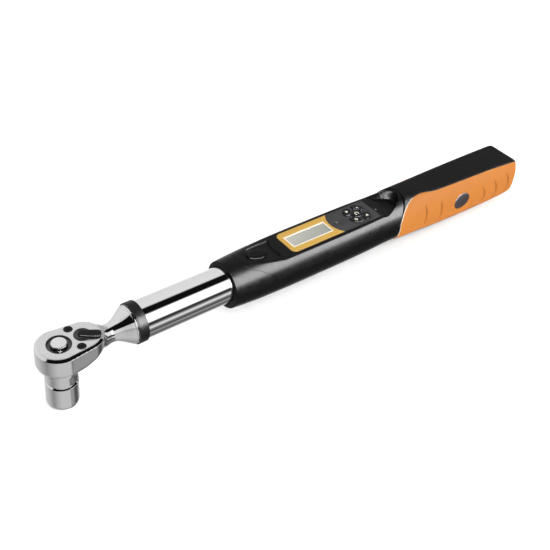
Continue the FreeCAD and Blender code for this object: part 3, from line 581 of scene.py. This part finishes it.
def head_field(p):
    """Forged head: a flat teardrop with a sloping shoulder, its underside rising towards the neck."""
    x, y, z = p[..., 0], p[..., 1], p[..., 2]
    wall = teardrop(p, HEAD_R, HEAD_REAR_R)
    shoulder = SHOULDER_LEAN[0] * wall + SHOULDER_LEAN[1] * (z - SHOULDER_Z)
    bottom = HEAD_BOTTOM + 6.5 * smoothstep(10, 36, x) - z
    body = smooth_max(wall, shoulder, 0.2)
    body = smooth_max(body, z - HEAD_TOP, 0.12)
    body = smooth_max(body, bottom, 5.5)
    around = np.hypot(y, z)
    neck = (around - neck_radius(x)) * 0.8
    neck = np.maximum(neck, 18 - x)
    neck = np.maximum(neck, x - FLANGE_X)
    lip = smooth_max(around - FLANGE_R, np.abs(x - FLANGE_X - 0.1) - 1.1, 0.7)
    whole = smooth_min(body, neck, 2.6)
    whole = smooth_min(whole, lip, 0.5)
    for station, radius, floor in POCKETS:
        pocket = np.maximum(np.hypot(x - station, y) - radius, floor - z)
        whole = smooth_max(whole, -pocket, 0.2)
    seat = np.maximum(teardrop(p, PLATE_R - SEAT_STEP, PLATE_REAR_R - SEAT_STEP), PLATE_BOTTOM - z)
    return smooth_max(whole, -seat, 0.2)


def make_head():
    """Polished head and neck in one smooth piece."""
    points, quads, normals = field_surface(head_field, (-20, -20, -17.5), (61, 20, 17.5), 0.5)
    build("head_forging", points, quads, "chrome", "body", ("ratchet_head",), normals)


# ---- drive, button and lever ----
def notched(radius):
    """Radius round the button as a function of the angle, cut in by four notches."""
    quarter = math.pi / 2

    def around(angle):
        away = np.mod(angle - quarter / 2 + 0.79, quarter) - 0.79
        return radius - 0.55 * np.exp(-(away / 0.16) ** 2)

    return around


def make_button():
    """Release button with a dished top, a rolled rim and four grip notches."""
    top = BUTTON_TOP
    profile = [(0.0001, top - 0.45), (2.5, top - 0.36), (4.6, top - 0.1), (5.3, top), (5.75, top - 0.12)]
    profile += [(6.05, top - 0.45), (notched(6.18), top - 0.95), (notched(6.2), 9.1), (3.0, 9.1)]
    profile += [(3.0, -13.3), (1.65, -14.3), (1.65, -16.9), (2.25, -19.2), (2.25, -21.4), (0.0001, -21.4)]
    spin_z("button_turned", profile[::-1], "chrome", "release_button", ("quick_release_button",))


def make_cover_screws():
    """Two countersunk screws with hex recesses, flush with the plate."""
    top = PLATE_TOP + 0.02
    recess = polygon_radius(6, 2.3)
    profile = [(0.0001, top - 1.2), (recess, top - 1.2), (recess, top - 0.12), (1.6, top)]
    profile += [(3.2, top), (3.38, top - 0.15), (3.38, top - 0.6), (1.25, top - 2.2), (1.25, SCREW_BOTTOM)]
    profile += [(0.0001, SCREW_BOTTOM)]
    places = [(SCREW_AT[0], side * SCREW_AT[1]) for side in (1, -1)]
    piece = spin_z("screws_turned", profile[::-1], "ring_black", "body", ("cover_screws",), 72, places)
    crease(piece, 35)


def make_lever():
    """Direction lever: stepped disc and a ribbed thumb arm with rounded sides."""
    turn = math.radians(-35)
    disc = [(3.5, -7.2), (3.5, 8.0), (6.5, 8.0), (6.65, 8.2), (6.65, 10.3), (6.4, 10.6), (5.9, 10.6)]
    disc += [(5.7, 10.35), (5.2, 10.35), (5.0, 10.6), (4.3, 10.75), (0.0001, 10.8)]
    spin_z("lever_disc", disc, "dark_steel", "lever", ("reversing_lever",), 96, [(LEVER_X, 0)])

    stations = np.linspace(-3.6, 14.0, 60)
    half = 3.3 + 0.55 * smoothstep(0, 9, stations)
    ends = np.sqrt(np.clip(1 - ((stations - 5.2) / 8.85) ** 10, 0, 1))
    half = half * np.clip(ends, 0.05, 1)
    ribs = 0.28 * smoothstep(8.0, 8.6, stations) * np.cos((stations - 8.0) * 2 * math.pi / 1.5)
    top = 12.55 + 0.35 * smoothstep(4, 12, stations) - 1.6 * (1 - ends) + ribs
    section = np.linspace(0, math.pi, 18)
    rows = []
    for x, h, t in zip(stations, half, top):
        y = h * np.sign(np.cos(section)) * np.abs(np.cos(section)) ** 0.35
        z = 10.3 + (t - 10.3) * np.sin(section) ** 0.42
        rows.append(np.stack([np.full_like(y, x), y, z], -1))
    grid = np.array(rows)
    x, y = grid[..., 0].copy(), grid[..., 1].copy()
    grid[..., 0] = LEVER_X + x * math.cos(turn) - y * math.sin(turn)
    grid[..., 1] = x * math.sin(turn) + y * math.cos(turn)
    build_grid("lever_arm", grid, "ring_black", "lever")


# ---- socket ----
def knurled(radius, z):
    """Radius of the socket's outside as a function of the angle, cut into diamonds round the ring."""
    share = smoothstep(-24.0, -23.5, z) * (1 - smoothstep(-17.0, -16.5, z))

    def around(angle):
        diamonds = np.abs(np.sin(angle * 36 + z * 2.9)) * np.abs(np.sin(angle * 36 - z * 2.9))
        return radius - share * 0.3 * (1 - diamonds)

    return around


def make_socket():
    """Hex socket with a diamond-knurled ring, a polished groove and a plain skirt."""
    square = polygon_radius(4, 13.0)
    hexagon = polygon_radius(6, 19.0, math.pi / 6)
    outer = [(9.6, SOCKET_TOP), (10.3, SOCKET_TOP, 0.3), (11.5, -12.5, 0.8), (12.45, -16.2, 0.5)]
    outer += [(12.6, -24.4, 0.4), (11.2, -25.3, 0.4), (11.2, -26.5, 0.2), (12.9, -27.4, 0.3)]
    outer += [(12.9, -46.6, 1.6), (12.3, -48.9, 0.7), (11.3, SOCKET_BOTTOM, 0.3), (11.1, SOCKET_BOTTOM)]
    outline = rounded(outer, 0.4)
    profile = []
    for a, b in zip(outline, outline[1:]):
        parts = max(1, int(abs(a[1] - b[1]) / 0.35))
        for i in range(parts):
            z = a[1] + (b[1] - a[1]) * i / parts
            profile.append((knurled(a[0] + (b[0] - a[0]) * i / parts, z), z))
    profile += [(hexagon, SOCKET_BOTTOM + 0.9), (hexagon, -37.0), (8.6, -37.0), (8.6, -30.0), (5.5, -30.0)]
    profile += [(5.5, -27.9), (square, -27.9), (square, SOCKET_TOP - 0.4), (9.4, SOCKET_TOP), profile[0]]
    crease(spin_z("socket_turned", profile[::-1], "chrome", "socket", ("socket",), 240), 40)


# ---- tube ----
def make_tube():
    """Polished tube and the black ring over its joint with the neck."""
    start, end = TUBE_X
    wall = [(start, TUBE_INNER_R), (start, TUBE_R), (end, TUBE_R), (end, TUBE_INNER_R), (start, TUBE_INNER_R)]
    crease(spin_x("tube_turned", wall, "chrome", "body", ("torque_tube",)), 30)
    low, high = span("neck_ring", 0)
    ring = rounded([(low, 16.1), (low, RING_R), (high, RING_R), (high, 16.1)], 0.4, 7)
    spin_x("ring_moulded", ring, "ring_black", "body", ("neck_ring",))


# ---- housing ----
barrel_radius = curve_through(BARREL)


def crown_height(x, y):
    """Highest the housing may rise at a place in plan: slope, flat, band behind the keys and tail rim."""
    z = PANEL_TOP + SLOPE * np.maximum(SLOPE_END - x, 0)
    z = z - BAND_SLOPE * np.clip(x - PANEL_X[1], 0, BAND_END - PANEL_X[1])
    z = z - 0.9 * smoothstep(BAND_END, BAND_END + 1.2, x + 0.012 * y * y)
    rim = RIM_X - 0.075 * y * y
    z = z + 12.0 * smoothstep(rim, rim + 6.0, x)
    return z - dimple_depth(x, y)


def dimple_depth(x, y):
    """Depth of the boat-shaped hollow round the lens."""
    half = np.interp(x, *zip(*DIMPLE))
    ridge = SLOPE_END - 0.5 + 0.024 * y * y
    inside = np.minimum(half - np.abs(y), ridge - x)
    return DIMPLE_DEPTH * smoothstep(0.0, 0.6, inside)


def panel_recess(x, y):
    """1 inside the seat of the panel, 0 outside it."""
    margin, corner = 0.15, 5.0
    inside_x = np.minimum(x - PANEL_X[0], PANEL_X[1] - x) + margin
    inside_y = PANEL_HALF - np.abs(y) + margin
    near = np.minimum(inside_x, inside_y)
    dx = np.maximum(corner - inside_x, 0)
    dy = np.maximum(corner - inside_y, 0)
    front = x < PANEL_X[0] + corner
    distance = np.where(front & (dx > 0) & (dy > 0), corner - np.hypot(dx, dy), near)
    return smoothstep(0.0, 0.5, distance)


def cover_sink(x, y, z):
    """How far the skin sinks to seat the bottom cover."""
    half = COVER_HALF + 0.3
    middle = np.clip(x, COVER_X[0] + COVER_HALF, COVER_X[1] - COVER_HALF)
    inside = half - np.hypot(x - middle, y)
    return 0.9 * smoothstep(0.0, 0.5, inside) * (z < 0)


def housing_radius(x, angle):
    """Distance from the barrel's centre line to its skin."""
    barrel = barrel_radius(x)
    sine, cosine = np.sin(angle), np.cos(angle)
    rise = np.maximum(sine, 0.05)
    radius = barrel
    for _ in range(14):
        limit = (crown_height(x, radius * cosine) - HOUSING_AXIS_Z) / rise
        limit = np.where(sine > 0.05, limit, 1e3)
        radius = (radius + smooth_min(barrel, limit, 1.5)) / 2
    y = radius * cosine
    on_top = sine > 0.3
    radius = radius - np.where(on_top, 0.4 * panel_recess(x, y) / rise, 0)
    return radius - cover_sink(x, y, radius * sine)


def tube_rows(start, end, count):
    """Evenly spaced stations from one edge to the other, for every skin angle."""
    t = np.linspace(0, 1, count)[:, None]
    return start * (1 - t) + end * t


def skin_points(x, angle, radius, centre_z):
    """Points of a skin from its stations, angles and radii."""
    wide = np.broadcast_to(angle, x.shape)
    return np.stack([x, radius * np.cos(wide), centre_z + radius * np.sin(wide)], -1)


def rolled_skin(x, lips, depth):
    """Housing skin with both ends rolled over and turned inwards, so that its wall shows."""
    rings = []
    for end, side, roll in ((0, -1, lips[0]), (-1, 1, lips[1])):
        radius = housing_radius(x[end], SKIN_ANGLES)
        turns = np.radians((30, 60, 90))
        profile = [(roll * math.sin(a), roll * (1 - math.cos(a))) for a in turns] + [(roll, depth)]
        ring = [(x[end] + side * out, radius - drop) for out, drop in profile]
        rings.append([skin_points(px, SKIN_ANGLES, pr, HOUSING_AXIS_Z) for px, pr in ring])
    wide = np.broadcast_to(SKIN_ANGLES, x.shape)
    body = skin_points(x, wide, housing_radius(x, wide), HOUSING_AXIS_Z)
    return np.concatenate([rings[0][::-1], body, rings[1]])


def seam(shift):
    """Stations of the curved seam between collar and main housing, moved along by a shift."""
    sine, cosine = np.sin(SKIN_ANGLES), np.cos(SKIN_ANGLES)
    on_crown = np.where(sine > 0, np.abs(CROWN_HALF / np.maximum(sine, 0.05) * cosine), 1e3)
    return SEAM_X + shift + SEAM_CURVE * np.minimum(np.abs(SIDE_R * cosine), on_crown) ** 2


def tail(shift):
    """Stations of the joint between housing and grip, moved along by a shift."""
    return TAIL_X + shift - TAIL_CURVE * (SIDE_R * np.cos(SKIN_ANGLES)) ** 2


def make_collar():
    """Front end of the housing up to the curved seam."""
    roll = 0.8
    points = rolled_skin(tube_rows(HOUSING_START + roll, seam(-SEAM_GAP), 60), (roll, 0.2), 3.4)
    build_grid("collar_shell", points, "housing_black", "body", ("front_collar",))
    bore = [(0.5, 3.0), (0.3, 0.6), (0.7, 0.1), (9.0, 0.1)]
    bore = [(HOUSING_START + depth, TUBE_R + clear) for depth, clear in bore]
    spin_x("collar_bore", bore, "housing_black", "body")


def make_housing():
    """Main shell, open under the display and the keys."""
    points = rolled_skin(tube_rows(seam(SEAM_GAP), tail(-TAIL_GAP), 480), (0.2, 0.9), 2.0)
    faces = grid_faces(len(points), len(SKIN_ANGLES), True, True)
    flat = points.reshape(-1, 3)
    middle = flat[faces].mean(axis=1)
    under_panel = (np.abs(middle[:, 1]) < PANEL_HALF - 1.6) & (middle[:, 2] > 10)
    under_panel &= (middle[:, 0] > PANEL_X[0] + 3) & (middle[:, 0] < PANEL_X[1] - 1.6)
    build("housing_shell", flat, faces[~under_panel], "housing_black", "body", ("main_housing",))


def make_lens():
    """Oval indicator lens, domed and seated in a shallow ring."""
    angle = full_turn(128)
    rows = []
    for t in np.linspace(0.0005, 1, 18):
        x = LENS_X + LENS_HALF[0] * t * np.cos(angle)
        y = LENS_HALF[1] * t * np.sin(angle)
        dome = 0.75 * np.sqrt(np.clip(1 - t ** 4 * 0.99, 0, 1))
        z = PANEL_TOP + SLOPE * (SLOPE_END - x) - 0.35 + dome
        rows.append(np.stack([x, y, z], -1))
    rows.append(rows[-1] - np.array([0, 0, 1.6]))
    build_grid("lens_domed", rows, "lens_black", "body", ("indicator_lens",), flip=False)


# ---- marks on the keys ----
def flat_icon(word, outlines):
    """Thin raised marks on a key, from outlines of (x, y) about the middle of its top."""
    key = f"key_{word}"
    centre_x, centre_y, top = middle_of(key, 0), middle_of(key, 1), span(key, 2)[1]
    points, faces = [], []
    for outline in outlines:
        low, count = len(points), len(outline)
        high = low + count
        for z in (top - 0.05, top + 0.05):
            points += [(centre_x + x, centre_y + y, z) for x, y in outline]
        faces.append(tuple(range(high, high + count)))
        for i in range(count):
            after = (i + 1) % count
            faces.append((low + i, low + after, high + after, high + i))
    build(f"icon_{word}", points, faces, "trim_cream", key)


def stroke(a, b):
    """Rectangle along a line."""
    width = 0.72
    a, b = np.array(a, float), np.array(b, float)
    side = np.array([-(b - a)[1], (b - a)[0]]) / np.linalg.norm(b - a) * width / 2
    return [a - side, b - side, b + side, a + side]


def arc_strokes(radius, start, end):
    """Strokes along an arc, in degrees."""
    turns = np.radians(np.linspace(start, end, 21))
    ring = [(radius * math.cos(t), radius * math.sin(t)) for t in turns]
    return [stroke(a, b) for a, b in zip(ring, ring[1:])]


def make_icons():
    """Plain symbols on the five keys: chevron, two arrowheads, ring and power mark."""
    tip = (0.5, 0.5)
    flat_icon("up", [stroke((-1.3, 0.2), tip), stroke(tip, (0.2, -1.3))])
    flat_icon("left", [[(-1.6, 1.5), (-0.9, -1.5), (1.6, 0.9)]])
    flat_icon("right", [[(1.6, -1.5), (0.9, 1.5), (-1.6, -0.9)]])
    flat_icon("down", arc_strokes(1.15, 0, 360))
    flat_icon("power", arc_strokes(1.75, -60, 240) + [stroke((1.0, -0.6), (1.9, -1.3))])


# ---- grip ----
grip_half, grip_top, grip_side_top, grip_bottom, grip_power = (
    curve_through([(row[0], row[i]) for row in GRIP_SECTIONS]) for i in range(1, 6)
)


def end_scale(x):
    """How far the grip's section has shrunk near its rounded end."""
    t = np.clip((x - (GRIP_END - END_ROUND)) / END_ROUND, 0, 1)
    return np.maximum(1 - t ** 2.7, 0) ** (1 / 2.7)


def grip_radius(x, angle):
    """Distance from the grip's middle to its skin: elliptical sides, a nearly flat top, squarer below."""
    half, cosine, sine = grip_half(x), np.abs(np.cos(angle)), np.sin(angle)
    side = 1 / np.hypot(cosine / half, sine / (grip_side_top(x) - GRIP_MID_Z))
    flat = (grip_top(x) - GRIP_MID_Z) / np.maximum(sine, 0.05)
    power = grip_power(x)
    below = (cosine / half) ** power + (np.abs(sine) / (GRIP_MID_Z - grip_bottom(x))) ** power
    return np.where(sine < 0, below ** (-1 / power), smooth_min(side, flat, 2.6)) * end_scale(x)


def door_sink(x, y, z):
    """Seat of the battery door in the underside."""
    inside = np.minimum(np.minimum(x - DOOR_X[0], DOOR_X[1] - x), DOOR_HALF - np.abs(y)) + 0.35
    return 0.7 * smoothstep(0.0, 0.45, inside) * (z < -12)


def under_panel(x, y, z):
    """1 where a side panel lies over the moulding, 0 outside it."""
    inside_top = np.abs(y) - panel_edge(x) - np.where(y > 0, PANEL_LEAN, 0.0)
    inside_low = np.abs(y) - PANEL_LOW
    inside = np.where(z > GRIP_MID_Z, inside_top, inside_low)
    return smoothstep(0.1, 0.6, np.minimum(inside, x - PANEL_FRONT))


def make_grip():
    """Black moulded body, set back where the side panels lie and turned in at its front edge."""
    straight = tube_rows(tail(0.6), GRIP_END - END_ROUND, 270)
    curl = GRIP_END - END_ROUND + END_ROUND * np.sin(np.linspace(0, math.pi / 2, 34)[1:])
    x = np.concatenate([straight, np.repeat(curl[:, None], len(SKIN_ANGLES), axis=1)])
    wide = np.broadcast_to(SKIN_ANGLES, x.shape)
    radius = grip_radius(x, wide)
    y, z = radius * np.cos(wide), GRIP_MID_Z + radius * np.sin(wide)
    sink = door_sink(x, y, z) + PANEL_BED * under_panel(x, y, z) * (end_scale(x) > 0.9)
    radius = radius - np.minimum(sink, radius * 0.5)
    points = skin_points(x, wide, radius, GRIP_MID_Z)
    inward = skin_points(x[0], SKIN_ANGLES, radius[0] - 3.0, GRIP_MID_Z)
    points = np.concatenate([inward[None], points])
    crease(build_grid("grip_moulding", points, "grip_black", "body", ("grip_body",)), 50)


panel_edge = curve_through(PANEL_EDGE)


def groove_depth(x, z):
    """Depth of the crescent grooves: a narrow slit that eases out behind."""
    depth = np.zeros_like(x)
    for points in GROOVES:
        xs, zs = zip(*points)
        line = np.polyfit(zs, xs, 2)
        along = (z - zs[2]) / (zs[0] - zs[2])
        fade = np.clip(4 * along * (1 - along), 0, 1) ** 0.6 * ((along > 0) & (along < 1))
        away = x - np.polyval(line, np.clip(z, zs[2], zs[0]))
        width = np.where(away < 0, 0.4, 1.5)
        section = 0.4 * np.exp(-((away / width) ** 2)) + 0.6 * np.exp(-((away / 0.7) ** 2))
        depth = np.maximum(depth, GROOVE_DEPTH * fade * section)
    return depth


def badge_inside(x, z):
    """Distance inside the oval inset's edge, roughly in millimetres."""
    radial = np.hypot((x - BADGE_X) / BADGE_SIZE[0], (z - BADGE_Z) / BADGE_SIZE[1])
    return (1 - radial) * BADGE_SIZE[1]


def angle_at_y(stations, ys, above):
    """Angles on the grip's sections where the skin is y from the middle plane."""
    angle = np.linspace(0, math.pi / 2 if above else -math.pi / 2, 400)
    found = []
    for x, y in zip(stations, ys):
        reach = grip_radius(min(x, GRIP_END - END_ROUND), angle) * np.cos(angle)
        found.append(np.interp(-y, -reach, angle))
    return np.array(found)


def edge_spaced(count):
    """Values from 0 to 1, closer together near both ends."""
    crowding = 2.2
    t = np.linspace(-1, 1, count)
    return (np.tanh(crowding * t) / math.tanh(crowding) + 1) / 2


def make_side_panel(side, name):
    """Soft orange panel with a rolled edge, crescent grooves and a seat for its inset."""
    lean = PANEL_LEAN if side > 0 else 0.0
    straight = PANEL_FRONT + (GRIP_END - END_ROUND - PANEL_FRONT) * np.linspace(0, 1, 560) ** 1.1
    curl = GRIP_END - END_ROUND + (END_ROUND - 0.35) * np.sin(np.linspace(0, math.pi / 2, 26)[1:])
    station = np.concatenate([straight, curl])
    upper = angle_at_y(station, panel_edge(station) + lean, True)
    lower = angle_at_y(station, np.full_like(station, PANEL_LOW), False)
    share = edge_spaced(84)[None, :]
    x = np.repeat(station[:, None], share.shape[1], axis=1)
    angle = upper[:, None] * (1 - share) + lower[:, None] * share
    base = grip_radius(x, angle)
    edge_distance = np.minimum(np.abs(angle - upper[:, None]), np.abs(angle - lower[:, None])) * 20
    edge_distance = np.minimum(edge_distance, x - PANEL_FRONT)
    roll = np.clip(edge_distance / 0.9, 0, 1)
    lift = -0.5 + 0.68 * np.sqrt(1 - (1 - roll) ** 2)
    z = GRIP_MID_Z + base * np.sin(angle)
    lift = lift - groove_depth(x, z) - 0.7 * smoothstep(-0.5, 0.0, badge_inside(x, z))
    radius = np.maximum(base + np.where(end_scale(x) > 0.35, lift, 0.1), 0.01)
    points = skin_points(x, angle, radius, GRIP_MID_Z)
    points[..., 1] *= side
    panel = build_grid(f"{name}_moulded", points, "grip_orange", "body", (name,), False, side > 0)
    # Painted shade: the grooves' depth is stored so that the orange material darkens there, standing in for
    # shade in the grooves.
    groove_shade = panel.data.attributes.new("groove", "FLOAT", "POINT")
    groove_shade.data.foreach_set("value", (groove_depth(x, z) / GROOVE_DEPTH).ravel() ** 1.5)


def make_badge(side, name):
    """Plain dark oval set into a side panel, gently domed."""
    turn = full_turn(96)
    rows = []
    for t in np.linspace(0.0005, 1, 14):
        x = BADGE_X + BADGE_SIZE[0] * t * np.cos(turn)
        z = BADGE_Z + BADGE_SIZE[1] * t * np.sin(turn)
        rows.append((x, z, -0.25 + 0.3 * math.sqrt(max(0.0, 1 - t ** 6))))
    rows.append((rows[-1][0], rows[-1][1], -0.9))
    grid = []
    for x, z, lift in rows:
        angle = np.arctan2(z - GRIP_MID_Z, 22.5)
        for _ in range(3):
            angle = np.arctan2(z - GRIP_MID_Z, grip_radius(x, angle) * np.cos(angle))
        y = grip_radius(x, angle) * np.cos(angle) + lift
        grid.append(np.stack([x, y * side, z], -1))
    build_grid(f"{name}_domed", grid, "badge_black", "body", (name,), flip=side < 0)


def make_lip(side, name):
    """Thin pale bead along the front edge of a side panel."""
    station = np.concatenate([np.full(14, PANEL_FRONT), PANEL_FRONT + 21 * np.linspace(0, 1, 30)[1:] ** 1.6])
    upper = angle_at_y(station, panel_edge(station) + (PANEL_LEAN if side > 0 else 0.0), True)
    low = angle_at_y([PANEL_FRONT], [LIP_END], False)[0]
    angle = np.concatenate([np.linspace(low, upper[0], 14), upper[14:]])
    radius = grip_radius(station, angle) - 0.05
    path = skin_points(station - 0.15, angle, radius, GRIP_MID_Z)
    path[:, 1] *= side
    curve = bpy.data.curves.new(name, "CURVE")
    curve.dimensions = "3D"
    curve.bevel_depth = 0.3 * MM
    curve.bevel_resolution = 3
    spline = curve.splines.new("POLY")
    spline.points.add(len(path) - 1)
    thick = np.sin(np.linspace(0.05, 0.95, len(path)) * math.pi) ** 0.4
    for point, place, width in zip(spline.points, path, thick):
        point.co = (place[0] * MM, place[1] * MM, place[2] * MM + AXIS, 1)
        point.radius = width
    holder = add_object(name, curve)
    mesh = bpy.data.meshes.new_from_object(holder.evaluated_get(bpy.context.evaluated_depsgraph_get()))
    bpy.data.objects.remove(holder)
    finish_piece(name, mesh, "trim_cream", "body")


def make_door():
    """Battery door that follows the underside, with a row of thumb ribs."""
    x, y = np.meshgrid(np.linspace(*DOOR_X, 130), np.linspace(-DOOR_HALF, DOOR_HALF, 60), indexing="ij")
    half, tall, power = grip_half(x), GRIP_MID_Z - grip_bottom(x), grip_power(x)
    z = GRIP_MID_Z - tall * (1 - (np.abs(y) / half) ** power) ** (1 / power)
    inside = np.minimum(np.minimum(x - DOOR_X[0], DOOR_X[1] - x), DOOR_HALF - np.abs(y))
    z = z + 0.4 * (1 - np.sqrt(1 - (1 - np.clip(inside / 0.8, 0, 1)) ** 2))
    ribbed = smoothstep(6, 7, inside) * (x < DOOR_X[0] + 18)
    ribs = ribbed * 0.4 * np.abs(np.sin((x - DOOR_X[0]) * math.pi / 2.2))
    outer = np.stack([x, y, z + ribs], -1)
    inner = np.stack([x, y, np.full_like(x, span("battery_door", 2)[1])], -1)
    faces = grid_faces(*x.shape, False)
    index = np.arange(x.size).reshape(x.shape)
    loop = np.concatenate([index[0, :-1], index[:-1, -1], index[-1, :0:-1], index[:0:-1, 0]])
    after = np.roll(loop, -1)
    rim = np.stack([loop, loop + x.size, after + x.size, after], -1)
    points = np.concatenate([outer.reshape(-1, 3), inner.reshape(-1, 3)])
    faces = np.concatenate([faces[:, ::-1], faces + x.size, rim])
    piece = build("door_moulded", points, faces, "grip_black", "battery_door", ("battery_door",))
    work = bmesh.new()
    work.from_mesh(piece.data)
    bmesh.ops.recalc_face_normals(work, faces=work.faces)
    work.to_mesh(piece.data)
    work.free()
    crease(piece, 40)


# ---- stage, light and camera ----
def make_floor():
    """Plain pale floor under the socket's mouth and the grip's end."""
    mesh = bpy.data.meshes.new("floor")
    half, socket_gap, grip_gap = 3.0, 0.4, 0.5
    start = SOCKET_BOTTOM - socket_gap
    stations = np.linspace(400, GRIP_END, 60)
    slope = ((grip_bottom(stations) - grip_gap - start) / stations).min()
    corners = [(x * half, y * half) for x, y in ((-1, -1), (1, -1), (1, 1), (-1, 1))]
    corners = [(x, y, start * MM + AXIS + x * slope) for x, y in corners]
    mesh.from_pydata(corners, [], [(0, 1, 2, 3)])
    material, tree, bsdf = shader("floor_pale")
    tone = tinted(tree, noise(tree, 300.0, 2.0), (0.93, 0.93, 0.93), (0.95, 0.95, 0.95))
    set_inputs(tree, bsdf, {"Base Color": tone, "Roughness": 0.9})
    mesh.materials.append(material)
    floor = add_object("floor", mesh)
    floor.visible_glossy = False


# Brightness of the studio by the angle about the tool's length: 0 is overhead, 90 the viewer's side.
# The first table holds for directions along the tool, the second for directions across its front end.
STUDIO = (
    (-180, 0.20), (-171, 0.45), (-161, 0.75), (-140, 0.95), (-111, 1.05), (-91, 0.82), (-18, 0.86),
    (-12, 0.70), (-8, 0.005), (25, 0.005), (31, 1.0), (34, 1.6), (72, 1.6), (76, 1.0), (80, 0.05), (90, 0.03),
    (96, 0.15), (102, 0.50), (108, 0.90), (113, 0.80), (119, 0.28), (129, 0.10), (138, 0.10), (143, 0.34),
    (150, 0.34), (156, 0.16), (169, 0.14), (180, 0.20),
)
STUDIO_FRONT = (
    (-180, 0.35), (-140, 0.60), (-91, 0.80), (-18, 0.84), (-12, 0.70), (-8, 0.005), (43, 0.005), (47, 0.8),
    (75, 0.85), (80, 0.5), (100, 0.62), (141, 0.60), (160, 0.50), (180, 0.35),
)
FRONT_SHARE = (0.27, 0.36)  # share of the direction along the tool over which the tables change over
# The studio is dimmer towards its ends: factor by the direction's share along the tool.
ENDS = ((-1.0, 0.5), (-0.66, 0.85), (-0.45, 1.0), (-0.28, 1.0), (0.54, 1.0), (0.66, 0.6), (1.0, 0.4))
BRIGHTEST = 1.6             # level that the ramps hold as 1


def level_ramp(tree, value, low, high, table):
    """Brightness looked up in a table of (position, level)."""
    ramp = add_node(tree, "ShaderNodeValToRGB", {"Fac": ranged(tree, value, 0, 1, (low, high))})
    elements = ramp.color_ramp.elements
    while len(elements) < len(table):
        elements.new(0.5)
    for element, (place, level) in zip(elements, table):
        element.position = (place - low) / (high - low)
        element.color = (*[level / BRIGHTEST] * 3, 1)
    return ramp.outputs["Color"]


def make_world():
    """Long soft boxes and dark gaps beside the tool, dimmer towards the ends."""
    world = bpy.data.worlds.new("studio")
    bpy.context.scene.world = world
    world.use_nodes = True
    tree = world.node_tree
    place = add_node(tree, "ShaderNodeTexCoord", {}).outputs["Generated"]
    part = add_node(tree, "ShaderNodeSeparateXYZ", {"Vector": place}).outputs
    turn = add_node(tree, "ShaderNodeMath", {0: part["Y"], 1: part["Z"]}, "ARCTAN2").outputs["Value"]
    angle = add_node(tree, "ShaderNodeMath", {0: turn, 1: -180 / math.pi}, "MULTIPLY").outputs["Value"]
    change = tree.nodes.new("ShaderNodeMix")
    change.data_type = "RGBA"
    set_inputs(tree, change, {
        "Factor": ranged(tree, part["X"], 0, 1, FRONT_SHARE),
        "A": level_ramp(tree, angle, -180, 180, STUDIO_FRONT),
        "B": level_ramp(tree, angle, -180, 180, STUDIO),
    })
    ends = level_ramp(tree, part["X"], -1, 1, ENDS)
    both = add_node(tree, "ShaderNodeVectorMath", {0: change.outputs["Result"], 1: ends}, "MULTIPLY")
    set_inputs(tree, tree.nodes["Background"], {"Color": both.outputs["Vector"], "Strength": BRIGHTEST ** 2})


def pieces_without_metal():
    """Everything but the polished and dark metal, which would show the strip as glaring glints."""
    metals = [MATERIALS[name] for name in ("chrome", "satin_steel", "dark_steel")]
    pieces = bpy.data.collections.new("pieces_without_metal")
    for piece in bpy.context.scene.objects:
        if piece.type == "MESH" and not any(slot.material in metals for slot in piece.material_slots):
            pieces.objects.link(piece)
    return pieces


def make_lights():
    """Soft key and fill that give no highlights, and a long strip whose highlight the plastics show."""
    for name, place, size, energy, on_gloss in (
        ("key", (-0.25, -0.75, 0.95), (0.5, 0.5), 12.0, False),
        ("fill", (0.75, 0.20, 0.95), (0.9, 0.9), 9.0, False),
        ("strip", (0.25, -0.81, 0.64), (3.0, 0.8), 370.0, True),
    ):
        light = bpy.data.lights.new(name, "AREA")
        light.shape = "RECTANGLE"
        light.size, light.size_y = size
        light.energy = energy
        lamp = add_object(name, light)
        lamp.location = place
        aim = Vector((0.25, 0, AXIS)) - lamp.location
        lamp.rotation_euler = aim.to_track_quat("-Z", "Y").to_euler()
        lamp.visible_glossy = on_gloss
        lamp.visible_diffuse = not on_gloss
        if on_gloss:
            lamp.light_linking.receiver_collection = pieces_without_metal()


def make_camera():
    """Camera above and in front of the socket, looking along the tool."""
    azimuth, elevation, roll = map(math.radians, (43.018, 40.048, 7.348))
    away = Vector((-math.sin(azimuth), -math.cos(azimuth), 0))
    back = away * math.cos(elevation) + Vector((0, 0, math.sin(elevation)))
    level = Vector((math.cos(azimuth), -math.sin(azimuth), 0))
    upright = back.cross(level)
    right = math.cos(roll) * level + math.sin(roll) * upright
    up = -math.sin(roll) * level + math.cos(roll) * upright
    data = bpy.data.cameras.new("camera")
    data.sensor_width = 36
    data.lens = 57.79
    data.clip_end = 10
    camera = add_object("camera", data)
    matrix = Matrix((right, up, back)).transposed().to_4x4()
    matrix.translation = Vector((-0.198129, -0.434572, 0.483791 + AXIS))
    camera.matrix_world = matrix
    bpy.context.scene.camera = camera


# ---- build ----
bpy.context.scene.view_settings.view_transform = "Standard"
make_head()
make_button()
make_cover_screws()
make_lever()
make_socket()
make_tube()
make_collar()
make_housing()
make_lens()
make_icons()
make_grip()
for panel_side, word in ((1, "left"), (-1, "right")):
    make_side_panel(panel_side, f"grip_panel_{word}")
    make_badge(panel_side, f"badge_{word}")
    make_lip(panel_side, f"panel_lip_{word}")
make_door()
for node_name, edge_width in (
    ("cover_plate", 0.22), ("drive_gear", 0.2), ("bottom_cover", 0.25),
    ("bottom_screws", 0.15), ("display_bezel", 0.2), ("window_trim", 0.12), ("control_panel", 0.15),
):
    dressed(node_name, edge_width)
for key_word in ("up", "down", "left", "right", "power"):
    dressed(f"key_{key_word}", 0.15)
make_floor()
make_world()
make_lights()
make_camera()
